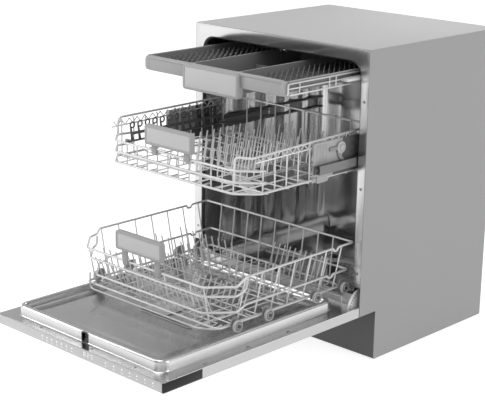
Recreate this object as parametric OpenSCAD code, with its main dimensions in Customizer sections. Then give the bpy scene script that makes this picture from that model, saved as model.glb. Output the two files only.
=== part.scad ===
// Built-in dishwasher with its door open flat and both racks and the cutlery tray pulled out.
// The origin is at the floor, under the middle of the whole outline with the door open.
// +X is the user's right when facing the machine, +Y runs into the cabinet and +Z is up.

/* [Cabinet] */
// Outside width of the cabinet and the door
cabinet_w = 598; // [590:1:606]
// Height from the floor to the top panel
cabinet_h = 820; // [815:1:870]
// Depth of the cabinet without the door
cabinet_d = 550; // [545:1:560]
// Height of the toe-kick notch
toe_h = 136; // [130:1:136]
// Depth of the toe-kick notch
toe_d = 66; // [50:1:70]
// Thickness of the outer steel panels
panel_t = 1.5; // [1.2:0.1:1.6]

/* [Door] */
// How far the open door reaches in front of the cabinet
door_reach = 680; // [676:1:690]
// Thickness of the door slab
door_t = 26; // [25:1:28]
// Height of the raised pan of the liner above the slab
liner_rise = 28; // [26:1:28]

/* [Tub] */
// Inside half width of the tub
tub_half = 276; // [276:1:278]
// Height of the tub ceiling
tub_top = 790; // [788:1:795]
// Radius of the tub's two upper corners
tub_corner = 40; // [30:1:50]
// Thickness of the tub sheet
tub_t = 1.2; // [1:0.1:1.4]

/* [Racks] */
// Radius of the thick rim wires
rim_r = 2.6; // [2.2:0.1:2.8]
// Radius of the thin wires
wire_r = 1.7; // [1.5:0.1:1.9]
// Radius of a lower rack wheel
wheel_r = 15; // [14:0.5:15]

/* [Hidden] */

$fn = 32;
wire_fn = 16;
// Gap left between two solids that only touch
gap = 0.1;
// Radial clearance of a turning fit
fit = 0.05;
// How far a cutting tool runs past the face it cuts
over = 1;
// Size of the ball at a wire's bend against the wire
knuckle = 1.25;

// Outline of the cabinet
half_w = cabinet_w / 2;
front_y = (door_reach - cabinet_d) / 2;
back_y = front_y + cabinet_d;
tip_y = front_y - door_reach;
inner_w = half_w - panel_t;
skirt_z = 3;
top_z = cabinet_h - panel_t;

// Door levels
slab_z = toe_h;
deck_z = slab_z + door_t;
rim_z = deck_z + liner_rise;
pan_z = rim_z - 18;
liner_half = 262;
liner_front = tip_y + 30;
liner_back = front_y - 60;
liner_corner = 26;
rim_w = 15;

// Tub levels and ends
tub_front = front_y + panel_t;
tub_end = back_y - 42;
floor_z = slab_z - 3;
floor_t = 2;
base_z = 8;
track_in = tub_half - 38;
arm_y = 318;

// Lower rack outline at rest
low_front = -403;
low_back = 75;
low_floor = 206;
low_band = 250;
low_rim = 326;
low_lip = 307;
low_half = 262;
low_base_half = 236;
low_base_back = low_back - 12;
low_tuck = 22;

// Upper rack outline at rest
up_front = -307;
up_back = 150;
up_floor = 513;
up_lip = 568;
up_rim = 615;
up_half = 251;
up_mid_y = (up_front + up_back) / 2;

// Cutlery tray outline at rest
tray_front = -174;
tray_back = 250;
tray_top = 764;
tray_floor = 727;
tray_half = 229;

// Telescopic runners of the upper rack
rail_z = 522;
rail_h = 34;
rail_lip = 5;
rail_back = tub_end - 8;

// Wheel positions along the lower rack
wheel_ys = [-331, -223, -47, 60];
wheel_x = 251;
wheel_w = 8;
wheel_z = rim_z + wheel_r + 0.4;

// A box from its low corner to its high corner
module block(low, high) {
    translate(low) cube(high - low);
}

// The same shape on the left and on the right
module both_sides() {
    children();
    mirror([1, 0, 0]) children();
}

// A straight round wire from one point to another
module wire(a, b, r) {
    d = b - a;
    translate(a)
        rotate([0, acos(d.z / norm(d)), atan2(d.y, d.x)])
            cylinder(h = norm(d), r = r, $fn = wire_fn);
}

// A bent wire through points, made of one rod a side. Each bend is a ball on the start of
// one rod, tipped so that its poles stay off the rod, and the rod before it stops a hair
// short, so that each side is a solid of its own.
module bent_wire(points, r, closed = false) {
    tip = [23, 67, 0];
    last = closed ? len(points) - 1 : len(points) - 2;
    for (i = [0 : last]) {
        a = points[i];
        b = points[(i + 1) % len(points)];
        stop = closed || i < last ? r * knuckle + gap : 0;
        wire(a, b - (b - a) * stop / norm(b - a), r);
        if (closed || i > 0)
            translate(a) rotate(tip) sphere(r = r * knuckle, $fn = wire_fn);
    }
}

// A cylinder lying along Y or along X
module along_y(x, z, y_low, y_high, r) {
    translate([x, y_high, z]) rotate([90, 0, 0]) cylinder(h = y_high - y_low, r = r);
}
module along_x(y, z, x_low, x_high, r) {
    translate([x_low, y, z]) rotate([0, 90, 0]) cylinder(h = x_high - x_low, r = r);
}

// A flat rectangle with four round corners
module round_rect(low, high, r) {
    translate([low.x + r, low.y]) square([high.x - low.x - 2 * r, high.y - low.y]);
    translate([low.x, low.y + r]) square([high.x - low.x, high.y - low.y - 2 * r]);
    for (x = [low.x + r, high.x - r], y = [low.y + r, high.y - r])
        translate([x, y]) circle(r = r);
}

// The tub's outline seen from the front, square below and round above
module arch(half, low, high, r) {
    translate([-half, low]) square([2 * half, high - low - r]);
    translate([-half + r, low]) square([2 * (half - r), high - low]);
    for (x = [-half + r, half - r])
        translate([x, high - r]) circle(r = r);
}

// An outline in X and Z given a thickness in Y
module upright_slab(y_low, y_high) {
    translate([0, y_high, 0]) rotate([90, 0, 0]) linear_extrude(y_high - y_low) children();
}

// ---- Cabinet ----

module side_panel() {
    difference() {
        block([inner_w, front_y, skirt_z], [half_w, back_y, top_z]);
        block([inner_w - over, front_y - over, skirt_z - over],
              [half_w + over, front_y + toe_d, toe_h]);
    }
}

module side_panel_left() {
    color("#9a9a9a") mirror([1, 0, 0]) side_panel();
}

module side_panel_right() {
    color("#9a9a9a") side_panel();
}

module top_panel() {
    color("#c4c4c4") block([-half_w, front_y, top_z], [half_w, back_y, cabinet_h]);
}

rear_low = 100;

module rear_panel() {
    color("#a8a8a8")
        block([-inner_w, back_y - panel_t, rear_low], [inner_w, back_y, top_z]);
}

// The plinth board closes the toe-kick notch
plinth_t = 16;
plinth_top = floor_z - floor_t - gap;
plinth_y = front_y + toe_d;

module plinth() {
    color("#484848")
        block([-inner_w, plinth_y, skirt_z + 1], [inner_w, plinth_y + plinth_t, plinth_top]);
}

// Shallow plastic floor pan that carries the feet and the pumps
tray_y_low = plinth_y + plinth_t + 2;
tray_y_high = back_y - 16.5;
pan_t = 2.5;
foot_x = 250;
foot_ys = [tray_y_low + 30, tray_y_high - 30];
foot_stem_r = 5;
foot_stem_h = 40;

module base_tray() {
    color("#3c3c3c") difference() {
        block([-inner_w + 1, tray_y_low, base_z], [inner_w - 1, tray_y_high, rear_low - 2]);
        block([-inner_w + 1 + pan_t, tray_y_low + pan_t, base_z + pan_t],
              [inner_w - 1 - pan_t, tray_y_high - pan_t, rear_low]);
        for (x = [-foot_x, foot_x], y = foot_ys)
            translate([x, y, 0]) cylinder(h = base_z * 2, r = foot_stem_r + fit);
        along_y(inlet_x, inlet_z, tray_y_high - pan_t - over, tray_y_high + over, inlet_r + 1);
        along_y(drain_x, drain_z, tray_y_high - pan_t - over, tray_y_high + over, drain_r + 1);
        block([mains_x - mains_w / 2, tray_y_high - pan_t - over, mains_z - mains_h / 2],
              [mains_x + mains_w / 2, tray_y_high + over, mains_z + mains_h / 2]);
    }
}

module levelling_feet() {
    foot_r = 22;
    foot_t = 6;
    nut_r = 11;
    color("#2c2c2c")
        for (x = [-foot_x, foot_x], y = foot_ys)
            translate([x, y, 0]) {
                cylinder(h = foot_t, r = foot_r);
                cylinder(h = base_z, r = nut_r);
                cylinder(h = foot_stem_h, r = foot_stem_r);
            }
}

frame_low = 212;
frame_half = tub_half - 2;
frame_top = tub_top - 2;
recess_half = 95;
recess_rise = 9;

module front_frame() {
    color("#cfcfcf") upright_slab(front_y, tub_front)
        difference() {
            translate([-inner_w, frame_low]) square([2 * inner_w, top_z - frame_low]);
            arch(frame_half, frame_low - over, frame_top, tub_corner - 2);
            translate([-recess_half, frame_low])
                square([2 * recess_half, frame_top + recess_rise - frame_low]);
        }
}

// ---- Tub ----

module tub_wrapper() {
    color("#b4b4b4") upright_slab(tub_front, tub_end + tub_t)
        difference() {
            arch(tub_half + tub_t, floor_z, tub_top + tub_t, tub_corner + tub_t);
            arch(tub_half, floor_z - over, tub_top, tub_corner);
        }
}

module tub_back() {
    color("#a6a6a6") upright_slab(tub_end, tub_end + tub_t)
        arch(tub_half, floor_z, tub_top, tub_corner);
}

// The floor is a folded sheet: a track for the wheels on each side, and a sunk middle
sill_top = 178;
sill_y = tub_front + 41;
sill_low = 152;
well_x = 90;
well_y = 258;
well_r = 44;
post_r = 16;
salt_x = -150;
salt_y = 205;
salt_r = 30;

module tub_base() {
    slope = 8;
    color("#9c9c9c") difference() {
        union() {
            upright_slab(tub_front + floor_t, tub_end)
                polygon([
                    [-tub_half, rim_z], [-track_in, rim_z],
                    [-track_in + slope, floor_z], [track_in - slope, floor_z],
                    [track_in, rim_z], [tub_half, rim_z],
                    [tub_half, rim_z - floor_t], [track_in + floor_t, rim_z - floor_t],
                    [track_in - slope + floor_t, floor_z - floor_t],
                    [-track_in + slope - floor_t, floor_z - floor_t],
                    [-track_in - floor_t, rim_z - floor_t], [-tub_half, rim_z - floor_t]
                ]);
            block([-tub_half, tub_front, floor_z - floor_t],
                  [tub_half, tub_front + floor_t, sill_top]);
            translate([-track_in, 0, 0]) rotate([90, 0, 90]) linear_extrude(2 * track_in)
                polygon([
                    [tub_front + floor_t, sill_top], [tub_front + floor_t, sill_top - floor_t],
                    [sill_y - floor_t, sill_low], [sill_y - floor_t, floor_z],
                    [sill_y, floor_z], [sill_y, sill_low + 1], [sill_y - 30, sill_top]
                ]);
        }
        translate([0, arm_y, 0]) cylinder(h = 300, r = post_r + gap);
        translate([well_x, well_y, 0]) cylinder(h = 300, r = well_r);
        translate([salt_x, salt_y, 0]) cylinder(h = 300, r = salt_r + gap);
    }
}

module door_gasket() {
    seal_depth = 11;
    seal_t = 4.4;
    color("#5a5a5a") upright_slab(tub_front + 0.5, tub_front + seal_depth)
        difference() {
            arch(tub_half, frame_low, tub_top, tub_corner);
            arch(tub_half - seal_t, frame_low - over, tub_top - seal_t, tub_corner - seal_t);
        }
}

// ---- Water system under the tub ----

sump_x = 50;
sump_y = 290;
sump_r = 104;
sump_low = 68;
arm_z = 158;
arm_t = 10;
hub_pin_r = 7;
sump_t = 3;
under_tub = floor_z - floor_t;

// Pot under the tub, with the hollow post that feeds and carries the lower spray arm
module sump() {
    color("#4a4a4a") {
        difference() {
            translate([sump_x, sump_y, sump_low]) cylinder(h = under_tub - sump_low, r = sump_r);
            difference() {
                translate([sump_x, sump_y, sump_low + sump_t])
                    cylinder(h = under_tub - sump_low, r = sump_r - sump_t);
                translate([0, arm_y, 0]) cylinder(h = 300, r = post_r);
            }
        }
        translate([0, arm_y, under_tub - over]) cylinder(h = arm_z - under_tub, r = post_r);
        translate([0, arm_y, arm_z - 4]) cylinder(h = arm_t + 8, r = hub_pin_r);
        translate([0, arm_y, arm_z + arm_t + 1]) cylinder(h = 4, r = hub_pin_r + 5);
    }
}

// Fine filter: a turning beaker with a grip bar across its mouth
module filter_cylinder() {
    beaker_r = 38;
    beaker_low = 76;
    color("#7d7d7d") {
        translate([well_x, well_y, beaker_low]) difference() {
            cylinder(h = floor_z + 1 - beaker_low, r = beaker_r);
            translate([0, 0, sump_t]) cylinder(h = 100, r = beaker_r - 2);
        }
        translate([well_x, well_y, floor_z + 0.5]) difference() {
            cylinder(h = 2, r = well_r + 6);
            translate([0, 0, -over]) cylinder(h = 4, r = beaker_r - 2);
        }
        block([well_x - beaker_r + 1, well_y - 3, floor_z - 6],
              [well_x + beaker_r - 1, well_y + 3, floor_z + 14]);
    }
}

pump_x = -150;
pump_z = 72;
volute_y = 360;
volute_d = 40;
volute_r = 50;
shell_t = 4;
can_y = volute_y + volute_d;
can_l = 100;
shaft_r = 4;

module circulation_pump() {
    can_r = 38;
    outlet_r = 11;
    color("#2f3540") difference() {
        union() {
            along_y(pump_x, pump_z, volute_y, can_y, volute_r);
            along_y(pump_x, pump_z, can_y - over, can_y + can_l, can_r);
            along_x(volute_y + volute_d / 2, pump_z + 24, pump_x + 36, sump_x - 96, outlet_r);
        }
        along_y(pump_x, pump_z, volute_y + shell_t, can_y - shell_t, volute_r - shell_t);
        along_x(volute_y + volute_d / 2, pump_z + 24, pump_x + 30, sump_x - 90,
                outlet_r - 2);
        along_y(pump_x, pump_z, volute_y + shell_t, can_y + 50, shaft_r + fit);
    }
}

module pump_impeller() {
    blades = 6;
    disc_r = 40;
    y_low = volute_y + shell_t + 3;
    y_high = can_y - shell_t - 3;
    color("#d8d8d8") {
        along_y(pump_x, pump_z, y_high - 4, y_high, disc_r);
        along_y(pump_x, pump_z, y_low, can_y + 45, shaft_r);
        translate([pump_x, y_low, pump_z])
            for (i = [0 : blades - 1])
                rotate([0, i * 360 / blades, 0])
                    block([shaft_r - 1, 0, -1.5], [disc_r - 4, y_high - y_low, 1.5]);
    }
}

module drain_pump() {
    pump_y = 330;
    color("#39414d") {
        along_x(pump_y, 98, sump_x + sump_r + 1, sump_x + sump_r + 26, 24);
        along_x(pump_y, 98, sump_x + sump_r + 25, sump_x + sump_r + 75, 18);
    }
}

salt_cap_z = floor_z + 2;
salt_wall = 4;

module salt_container() {
    salt_half = 52;
    salt_low = 24;
    wall = 3;
    color("#5b6470") difference() {
        union() {
            block([salt_x - salt_half, salt_y - salt_half, salt_low],
                  [salt_x + salt_half, salt_y + salt_half, under_tub]);
            translate([salt_x, salt_y, under_tub - over])
                cylinder(h = salt_cap_z - under_tub + over, r = salt_r);
        }
        block([salt_x - salt_half + wall, salt_y - salt_half + wall, salt_low + wall],
              [salt_x + salt_half - wall, salt_y + salt_half - wall, under_tub - wall]);
        translate([salt_x, salt_y, salt_low + 20]) cylinder(h = 200, r = salt_r - salt_wall);
    }
}

module salt_cap() {
    color("#8f8f8f") translate([salt_x, salt_y, salt_cap_z]) {
        translate([0, 0, gap]) cylinder(h = 6, r = salt_r + 5);
        translate([0, 0, -10]) cylinder(h = 11, r = salt_r - salt_wall - fit);
        block([-26, -4, 5], [26, 4, 15]);
    }
}

inlet_x = 232;
inlet_z = 62;
inlet_r = 13.2;
pipe_end = back_y - 1;

module inlet_valve() {
    color("#dcdcdc") {
        block([inlet_x - 22, tray_y_high - 46, inlet_z - 18],
              [inlet_x + 22, tray_y_high - 6, inlet_z + 20]);
        difference() {
            along_y(inlet_x, inlet_z, tray_y_high - 7, pipe_end, inlet_r);
            along_y(inlet_x, inlet_z, tray_y_high - 4, pipe_end + over, inlet_r - 3.5);
        }
    }
}

drain_x = -232;
drain_z = 74;
drain_r = 10.5;

module drain_connector() {
    color("#565656") difference() {
        union() {
            along_y(drain_x, drain_z, tray_y_high - 30, pipe_end, drain_r);
            along_y(drain_x, drain_z, tray_y_high - 12, tray_y_high - 6, drain_r + 6);
        }
        along_y(drain_x, drain_z, tray_y_high - 31, pipe_end + over, drain_r - 2.5);
    }
}

mains_x = -150;
mains_z = 50;
mains_w = 32;
mains_h = 24;

// Socket for the plug-in mains lead
module mains_inlet() {
    socket_t = 3;
    pin_r = 2;
    color("#262626") {
        difference() {
            block([mains_x - mains_w / 2 + gap, tray_y_high - 26, mains_z - mains_h / 2 + gap],
                  [mains_x + mains_w / 2 - gap, pipe_end - 6, mains_z + mains_h / 2 - gap]);
            block([mains_x - mains_w / 2 + socket_t, tray_y_high - 12,
                   mains_z - mains_h / 2 + socket_t],
                  [mains_x + mains_w / 2 - socket_t, back_y, mains_z + mains_h / 2 - socket_t]);
        }
        for (x = [-7, 0, 7])
            along_y(mains_x + x, mains_z, tray_y_high - 13, pipe_end - 12, pin_r);
    }
}

module control_module() {
    color("#6b6b6b") {
        block([162, tray_y_low + 10, 14], [238, tray_y_low + 110, 96]);
        block([174, tray_y_low + 30, 95], [226, tray_y_low + 90, 104]);
    }
}

tube_r = 11;
tube_y = tub_end - tube_r - 1;
dock_z = 496.5;
ceiling_pipe_z = tub_top - 7;
ceiling_pin_r = 5;
ceiling_arm_z = 769;

// Riser up the back of the tub, with a dock for the upper rack and a branch to the ceiling
module feed_tube() {
    color("#8c8c8c") {
        translate([0, tube_y, floor_z]) cylinder(h = ceiling_pipe_z - floor_z, r = tube_r);
        translate([0, tube_y, ceiling_pipe_z]) sphere(r = 6.5);
        along_y(0, dock_z, tube_y - 24, tube_y, 8);
        along_y(0, ceiling_pipe_z, arm_y, tube_y, 6);
        translate([0, arm_y, ceiling_arm_z - 2])
            cylinder(h = ceiling_pipe_z - ceiling_arm_z + 2, r = ceiling_pin_r);
        translate([0, arm_y, ceiling_arm_z - 3]) cylinder(h = 1.6, r = ceiling_pin_r + 3);
    }
}

// A flat two-bladed spray arm about the Z axis, with a bore and rows of jets
module spray_arm(reach, wide, thick, bore_r, jets) {
    hub_r = bore_r + 13;
    difference() {
        union() {
            cylinder(h = thick, r = hub_r);
            block([-reach + wide / 2, -wide / 2, 1], [reach - wide / 2, wide / 2, thick - 1]);
            for (x = [-reach + wide / 2, reach - wide / 2])
                translate([x, 0, 1]) cylinder(h = thick - 2, r = wide / 2);
        }
        translate([0, 0, -over]) cylinder(h = thick + 2 * over, r = bore_r + fit);
        for (i = [1 : jets], side = [-1, 1])
            translate([side * (hub_r + i * (reach - hub_r - wide / 2) / jets), 0, thick / 2])
                cylinder(h = thick, r = 1.5);
    }
}

module lower_spray_arm() {
    color("#d0d0d0") translate([0, arm_y, arm_z + 0.5]) rotate([0, 0, 24])
        spray_arm(204, 40, arm_t, hub_pin_r, 6);
}

module ceiling_spray_arm() {
    color("#d0d0d0") translate([0, arm_y, ceiling_arm_z]) rotate([0, 0, 35])
        spray_arm(110, 24, 7, ceiling_pin_r, 4);
}

// ---- Rails on the tub walls ----

channel_depth = 10;
tray_rail_z = 746;
tray_rail_y = [90, 560];

module wall_rails() {
    color("#6e6e6e") both_sides() {
        // Channel of the telescopic runner
        difference() {
            block([tub_half - channel_depth, 85, rail_z], [tub_half, rail_back, rail_z + rail_h]);
            block([tub_half - channel_depth - over, 80, rail_z + rail_lip],
                  [tub_half - 2, rail_back + 10, rail_z + rail_h - rail_lip]);
        }
        // Channel that guides the cutlery tray, just clear of the tub's round corner
        difference() {
            block([tub_half - 24, tray_rail_y[0], tray_rail_z - 11],
                  [tub_half - 0.8, tray_rail_y[1], tray_rail_z + 11]);
            block([tub_half - 30, tray_rail_y[0] - over, tray_rail_z - 5],
                  [tub_half - 4, tray_rail_y[1] + over, tray_rail_z + 5]);
        }
    }
}

module latch_striker() {
    color("#dadada") {
        block([-28, tub_front + 14, tub_top - 3], [28, tub_front + 60, tub_top]);
        both_sides() block([8, tub_front + 18, tub_top - 15], [11, tub_front + 44, tub_top - 2]);
        along_x(tub_front + 24, tub_top - 11, -9, 9, 2.5);
    }
}

// ---- Door ----

skin_t = 1.2;
cap_back = tip_y + 122;
door_end = front_y - 3;
screw_dx = 520;
screw_dy = 480;
screw_r = 2.2;
screw_y = tip_y + 315;

module door_outer_panel() {
    color("#a2a2a2") difference() {
        union() {
            block([-half_w, tip_y + 4, slab_z], [half_w, door_end, slab_z + skin_t]);
            both_sides()
                block([half_w - skin_t, cap_back, slab_z], [half_w, door_end, deck_z - skin_t]);
            block([-half_w, door_end - skin_t, slab_z], [half_w, door_end, deck_z - skin_t]);
        }
        for (x = [-screw_dx / 2, screw_dx / 2], y = [-screw_dy / 2, screw_dy / 2])
            translate([x, screw_y + y, slab_z - over]) cylinder(h = 4, r = screw_r);
        both_sides()
            block([hinge_x - 0.3, door_end - skin_t - over, hinge_z - arm_half_h - 0.3],
                  [hinge_x + hinge_t + 0.3, door_end + over, deck_z]);
    }
}

strip_back = tip_y + 55;
slot_half = 6;

// One rounded outline of the liner's pan, drawn in by a distance
module pan_outline(inset) {
    round_rect([-liner_half + inset, liner_front + inset],
               [liner_half - inset, liner_back - inset], max(liner_corner - inset, 4));
}

module pan_ring(inset_out, inset_in, z_low, z_high) {
    translate([0, 0, z_low]) linear_extrude(z_high - z_low) difference() {
        pan_outline(inset_out);
        pan_outline(inset_in);
    }
}

module door_liner() {
    color("#bdbdbd") difference() {
        union() {
            translate([0, 0, deck_z - skin_t]) linear_extrude(skin_t) difference() {
                translate([-half_w, strip_back])
                    square([2 * half_w, door_end - strip_back]);
                pan_outline(skin_t);
            }
            pan_ring(0, skin_t, deck_z - skin_t, rim_z);
            pan_ring(0, rim_w, rim_z - skin_t, rim_z);
            pan_ring(rim_w - skin_t, rim_w, pan_z - skin_t, rim_z);
            translate([0, 0, pan_z - skin_t]) linear_extrude(skin_t)
                pan_outline(rim_w - skin_t);
        }
        // Opening for the striker of the latch
        block([-slot_half, liner_front - over, deck_z + 3],
              [slot_half, liner_front + skin_t + over, rim_z - 5]);
        // Opening for the dispenser
        block([disp_low.x + 5, disp_low.y + 5, pan_z - 10],
              [disp_high.x - 5, disp_high.y - 5, pan_z + over]);
    }
}

latch_y = liner_front + 7;
latch_z = deck_z + 5;
latch_pin_r = 2;

// Plastic housing along the door's top edge, with the cheeks that hold the latch
module control_strip() {
    strip_half = half_w - 3;
    wall = 2.5;
    cheek = 8;
    color("#e2e2e2") {
        difference() {
            block([-strip_half, tip_y, slab_z + skin_t], [strip_half, strip_back, deck_z]);
            block([-strip_half + wall, tip_y + wall, slab_z],
                  [strip_half - wall, strip_back + over, deck_z - wall]);
            block([-strip_half - over, tip_y + 4, slab_z],
                  [strip_half + over, strip_back + over, slab_z + skin_t + gap]);
            block([-liner_half, liner_front - gap, slab_z], [liner_half, strip_back + over, 200]);
            block([-strip_half - over, strip_back - 0.1, deck_z - skin_t],
                  [strip_half + over, strip_back + over, deck_z + over]);
        }
        difference() {
            union() {
                both_sides() block([5, liner_front + skin_t + gap, deck_z - 8],
                                   [5 + cheek, liner_front + 13, latch_z + 12]);
                block([-5 - cheek, liner_front + skin_t + gap, deck_z - 12],
                      [5 + cheek, liner_front + 13, deck_z - 7]);
            }
            along_x(latch_y, latch_z, -20, 20, latch_pin_r + fit);
        }
    }
}

// A hooked latch on a cross pin
module door_latch() {
    color("#3a3a3a") {
        along_x(latch_y, latch_z, -4.6, 4.6, 4.5);
        along_x(latch_y, latch_z, -12, 12, latch_pin_r);
        block([-3, latch_y - 2, latch_z + 3], [3, latch_y + 2, latch_z + 14]);
        block([-3, latch_y - 4, latch_z + 11], [3, latch_y + 1, latch_z + 14]);
    }
}

module door_side_caps() {
    color("#1c1c1c") both_sides()
        block([half_w - 3 + gap, tip_y, slab_z + skin_t],
              [half_w, cap_back - gap, deck_z - skin_t]);
}

disp_low = [-55, -370];
disp_high = [130, -240];
rinse_x = 96;
rinse_y = (disp_low.y + disp_high.y) / 2;
rinse_r = 14;

// Detergent dispenser let into the pan, with guides for its sliding lid
module dispenser_body() {
    wall = 3;
    lip = 3;
    guide_top = 181;
    color("#cacaca") difference() {
        union() {
            translate([0, 0, pan_z]) linear_extrude(2.4) round_rect(disp_low, disp_high, 10);
            block([disp_low.x + 6, disp_low.y + 6, slab_z + 14],
                  [disp_high.x - 6, disp_high.y - 6, pan_z + 1]);
            for (y = [disp_low.y + 3, disp_high.y - 9])
                block([disp_low.x + 8, y, pan_z + 1], [disp_high.x - 4, y + 6, guide_top]);
            block([disp_low.x + 8, disp_low.y + 3, guide_top - 1.4],
                  [disp_high.x - 4, disp_low.y + 9 + lip, guide_top]);
            block([disp_low.x + 8, disp_high.y - 9 - lip, guide_top - 1.4],
                  [disp_high.x - 4, disp_high.y - 3, guide_top]);
        }
        // Detergent chamber
        block([disp_low.x + 18, disp_low.y + 24, slab_z + 14 + wall],
              [disp_low.x + 78, disp_high.y - 24, pan_z + 10]);
        translate([rinse_x, rinse_y, pan_z - 14]) cylinder(h = 30, r = rinse_r + fit);
    }
}

module dispenser_lid() {
    lid_low = pan_z + 4.2;
    lid_x = disp_low.x + 10;
    color("#e4e4e4") {
        block([lid_x, disp_low.y + 9.6, lid_low], [lid_x + 76, disp_high.y - 9.6, lid_low + 2.6]);
        along_x(rinse_y, lid_low + 3, lid_x + 8, lid_x + 12, 3);
    }
}

module rinse_aid_cap() {
    color("#5d7fa8") translate([rinse_x, rinse_y, pan_z - 8]) {
        cylinder(h = 10.5, r = rinse_r);
        translate([0, 0, 10.4 + gap]) cylinder(h = 1.2, r = rinse_r + 3);
    }
}

// Hinge arm with its quarter-round guard plate, and the pin it turns on
hinge_x = tub_half + 7;
hinge_t = 3;
hinge_y = front_y - 15;
hinge_z = deck_z - 10;
arm_half_h = 8.5;
guard_y = front_y + 23;
guard_r = 57;

module hinge_arms() {
    color("#d4d4d4") both_sides() {
        translate([hinge_x, 0, 0]) rotate([90, 0, 90]) linear_extrude(hinge_t) {
            intersection() {
                translate([guard_y, hinge_z]) circle(r = guard_r);
                translate([guard_y, hinge_z]) square(guard_r);
            }
            translate([hinge_y - 60, hinge_z - arm_half_h])
                square([guard_y + guard_r - hinge_y + 60, 2 * arm_half_h]);
        }
        along_x(hinge_y, hinge_z, hinge_x - 6, hinge_x + 10, 5);
    }
}

module door_springs() {
    spring_r = 6;
    coil_r = 1.2;
    rod_r = 1.2;
    foot_z = base_z + pan_t;
    spring_low = 34;
    coils = 36;
    coil_pitch = 1.9;
    hook_z = 128;
    spring_y = guard_y + 82;
    color("#8a8a8a") both_sides() translate([tub_half + 11.5, spring_y, 0]) {
        translate([0, 0, spring_low]) rotate_extrude() {
            for (i = [0 : coils - 1])
                translate([spring_r - coil_r, coil_r + i * coil_pitch])
                    circle(r = coil_r, $fn = 14);
            translate([spring_r - 2 * coil_r, 0]) square([coil_r, coils * coil_pitch]);
        }
        translate([0, 0, foot_z]) {
            cylinder(h = hook_z - foot_z, r = rod_r);
            cylinder(h = 4, r = 3);
        }
    }
}

// ---- Lower rack ----

rack_gap = rim_r + wire_r + 0.3;
row_z = low_floor - rack_gap + 2 * wire_r + gap;
low_fold_z = row_z + 2 * wire_r + 1.5;
low_fold_y = -135;
low_tine_ys = [-330, -240, -150, -60];
low_short_ys = [-270, 20];
tine_pitch = 24;
tine_l = 84;
tine_lean = 10;
// A leaning tine starts this far above its row, because its foot is tilted
lean_gap = 0.5;
pivot_r = wire_r + 0.3;

// Half width of the lower rack at a height
function low_side(z) =
    low_base_half + (low_half - low_base_half) * (z - low_floor) / (low_rim - low_floor);

// Front face of the lower rack at a height
function low_face(z) = low_front + low_tuck * (low_lip - z) / (low_lip - low_floor);

// A loop round the rack: height at the front, height at the back, and the corner cut
function low_loop(z_front, z_back, cut) = let (f = low_face(z_front), s = low_side(z_back)) [
    [-s + cut, f, z_front], [s - cut, f, z_front], [s, f + cut, z_front + 2],
    [s, f + cut + 60, z_back], [s, low_back - cut / 2, z_back], [s - cut / 2, low_back, z_back],
    [-s + cut / 2, low_back, z_back], [-s, low_back - cut / 2, z_back],
    [-s, f + cut + 60, z_back], [-s, f + cut, z_front + 2]
];

module lower_rack_hoops() {
    cut = 56;
    band_z = 281;
    band_rise = 8;
    s = low_side(band_z + band_rise);
    f = low_face(band_z);
    color("#c9c9c9") {
        bent_wire(low_loop(low_lip, low_rim, cut), rim_r, closed = true);
        bent_wire(low_loop(236, low_band, cut), rim_r, closed = true);
        bent_wire([[-s, f + cut + 50, band_z + band_rise], [-s, f + cut, band_z],
                   [-s + cut, f, band_z], [s - cut, f, band_z], [s, f + cut, band_z],
                   [s, f + cut + 50, band_z + band_rise]], rim_r);
        bent_wire([for (x = [-1, 1], y = [-1, 1])
                   [x * low_base_half, y * x > 0 ? low_face(low_floor) : low_base_back, low_floor]],
                  rim_r, closed = true);
    }
}

// Uprights and floor of the lower rack, and its fixed tines
module lower_rack_wires() {
    side_ys = [for (i = [0 : 6]) low_front + 90 + i * 58];
    front_xs = [for (i = [-5 : 5]) i * 37];
    back_xs = [for (i = [-4 : 4]) i * 50];
    floor_y = [low_face(low_floor), low_base_back];
    foot_z = low_floor - 3;
    color("#c6c6c6") {
        both_sides() for (y = side_ys)
            wire([low_side(foot_z) - rack_gap, y, foot_z],
                 [low_half - rack_gap, y, low_rim], wire_r);
        for (x = front_xs)
            wire([x, low_face(foot_z) + rack_gap, foot_z],
                 [x, low_front + rack_gap, low_lip], wire_r);
        for (x = back_xs)
            wire([x, low_base_back - rack_gap - 0.5, foot_z],
                 [x, low_back - rack_gap, low_rim], wire_r);
        for (x = [-5 : 5])
            wire([x * 42 + 12, floor_y[0] + 8, row_z - 2 * wire_r - gap],
                 [x * 42 + 12, floor_y[1] - 8, row_z - 2 * wire_r - gap], wire_r);
        for (y = concat(low_tine_ys, low_short_ys))
            wire([-low_base_half + rim_r + gap, y, row_z],
                 [low_base_half - rim_r - gap, y, row_z], wire_r);
        for (y = low_tine_ys, i = [0 : 8])
            wire([-210 + i * tine_pitch, y, row_z + wire_r + lean_gap],
                 [-218 + i * tine_pitch, y - tine_lean, row_z + tine_l], wire_r);
        for (y = low_short_ys, i = [0 : 7])
            wire([30 + i * tine_pitch, y, row_z + wire_r + lean_gap],
                 [38 + i * tine_pitch, y + 8, row_z + tine_l - 20], wire_r);
    }
}

// A row of tines on a round rod along X that turns in clips
module lower_folding_tines() {
    x_low = 18;
    lean = 8;
    color("#d0d0d0") {
        wire([x_low, low_fold_y, low_fold_z], [x_low + 204, low_fold_y, low_fold_z], pivot_r);
        for (i = [0 : 7])
            wire([x_low + 12 + i * tine_pitch, low_fold_y, low_fold_z + pivot_r + gap],
                 [x_low + 12 + i * tine_pitch, low_fold_y + lean, low_fold_z + tine_l], wire_r);
    }
}

axle_r = 3;

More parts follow.
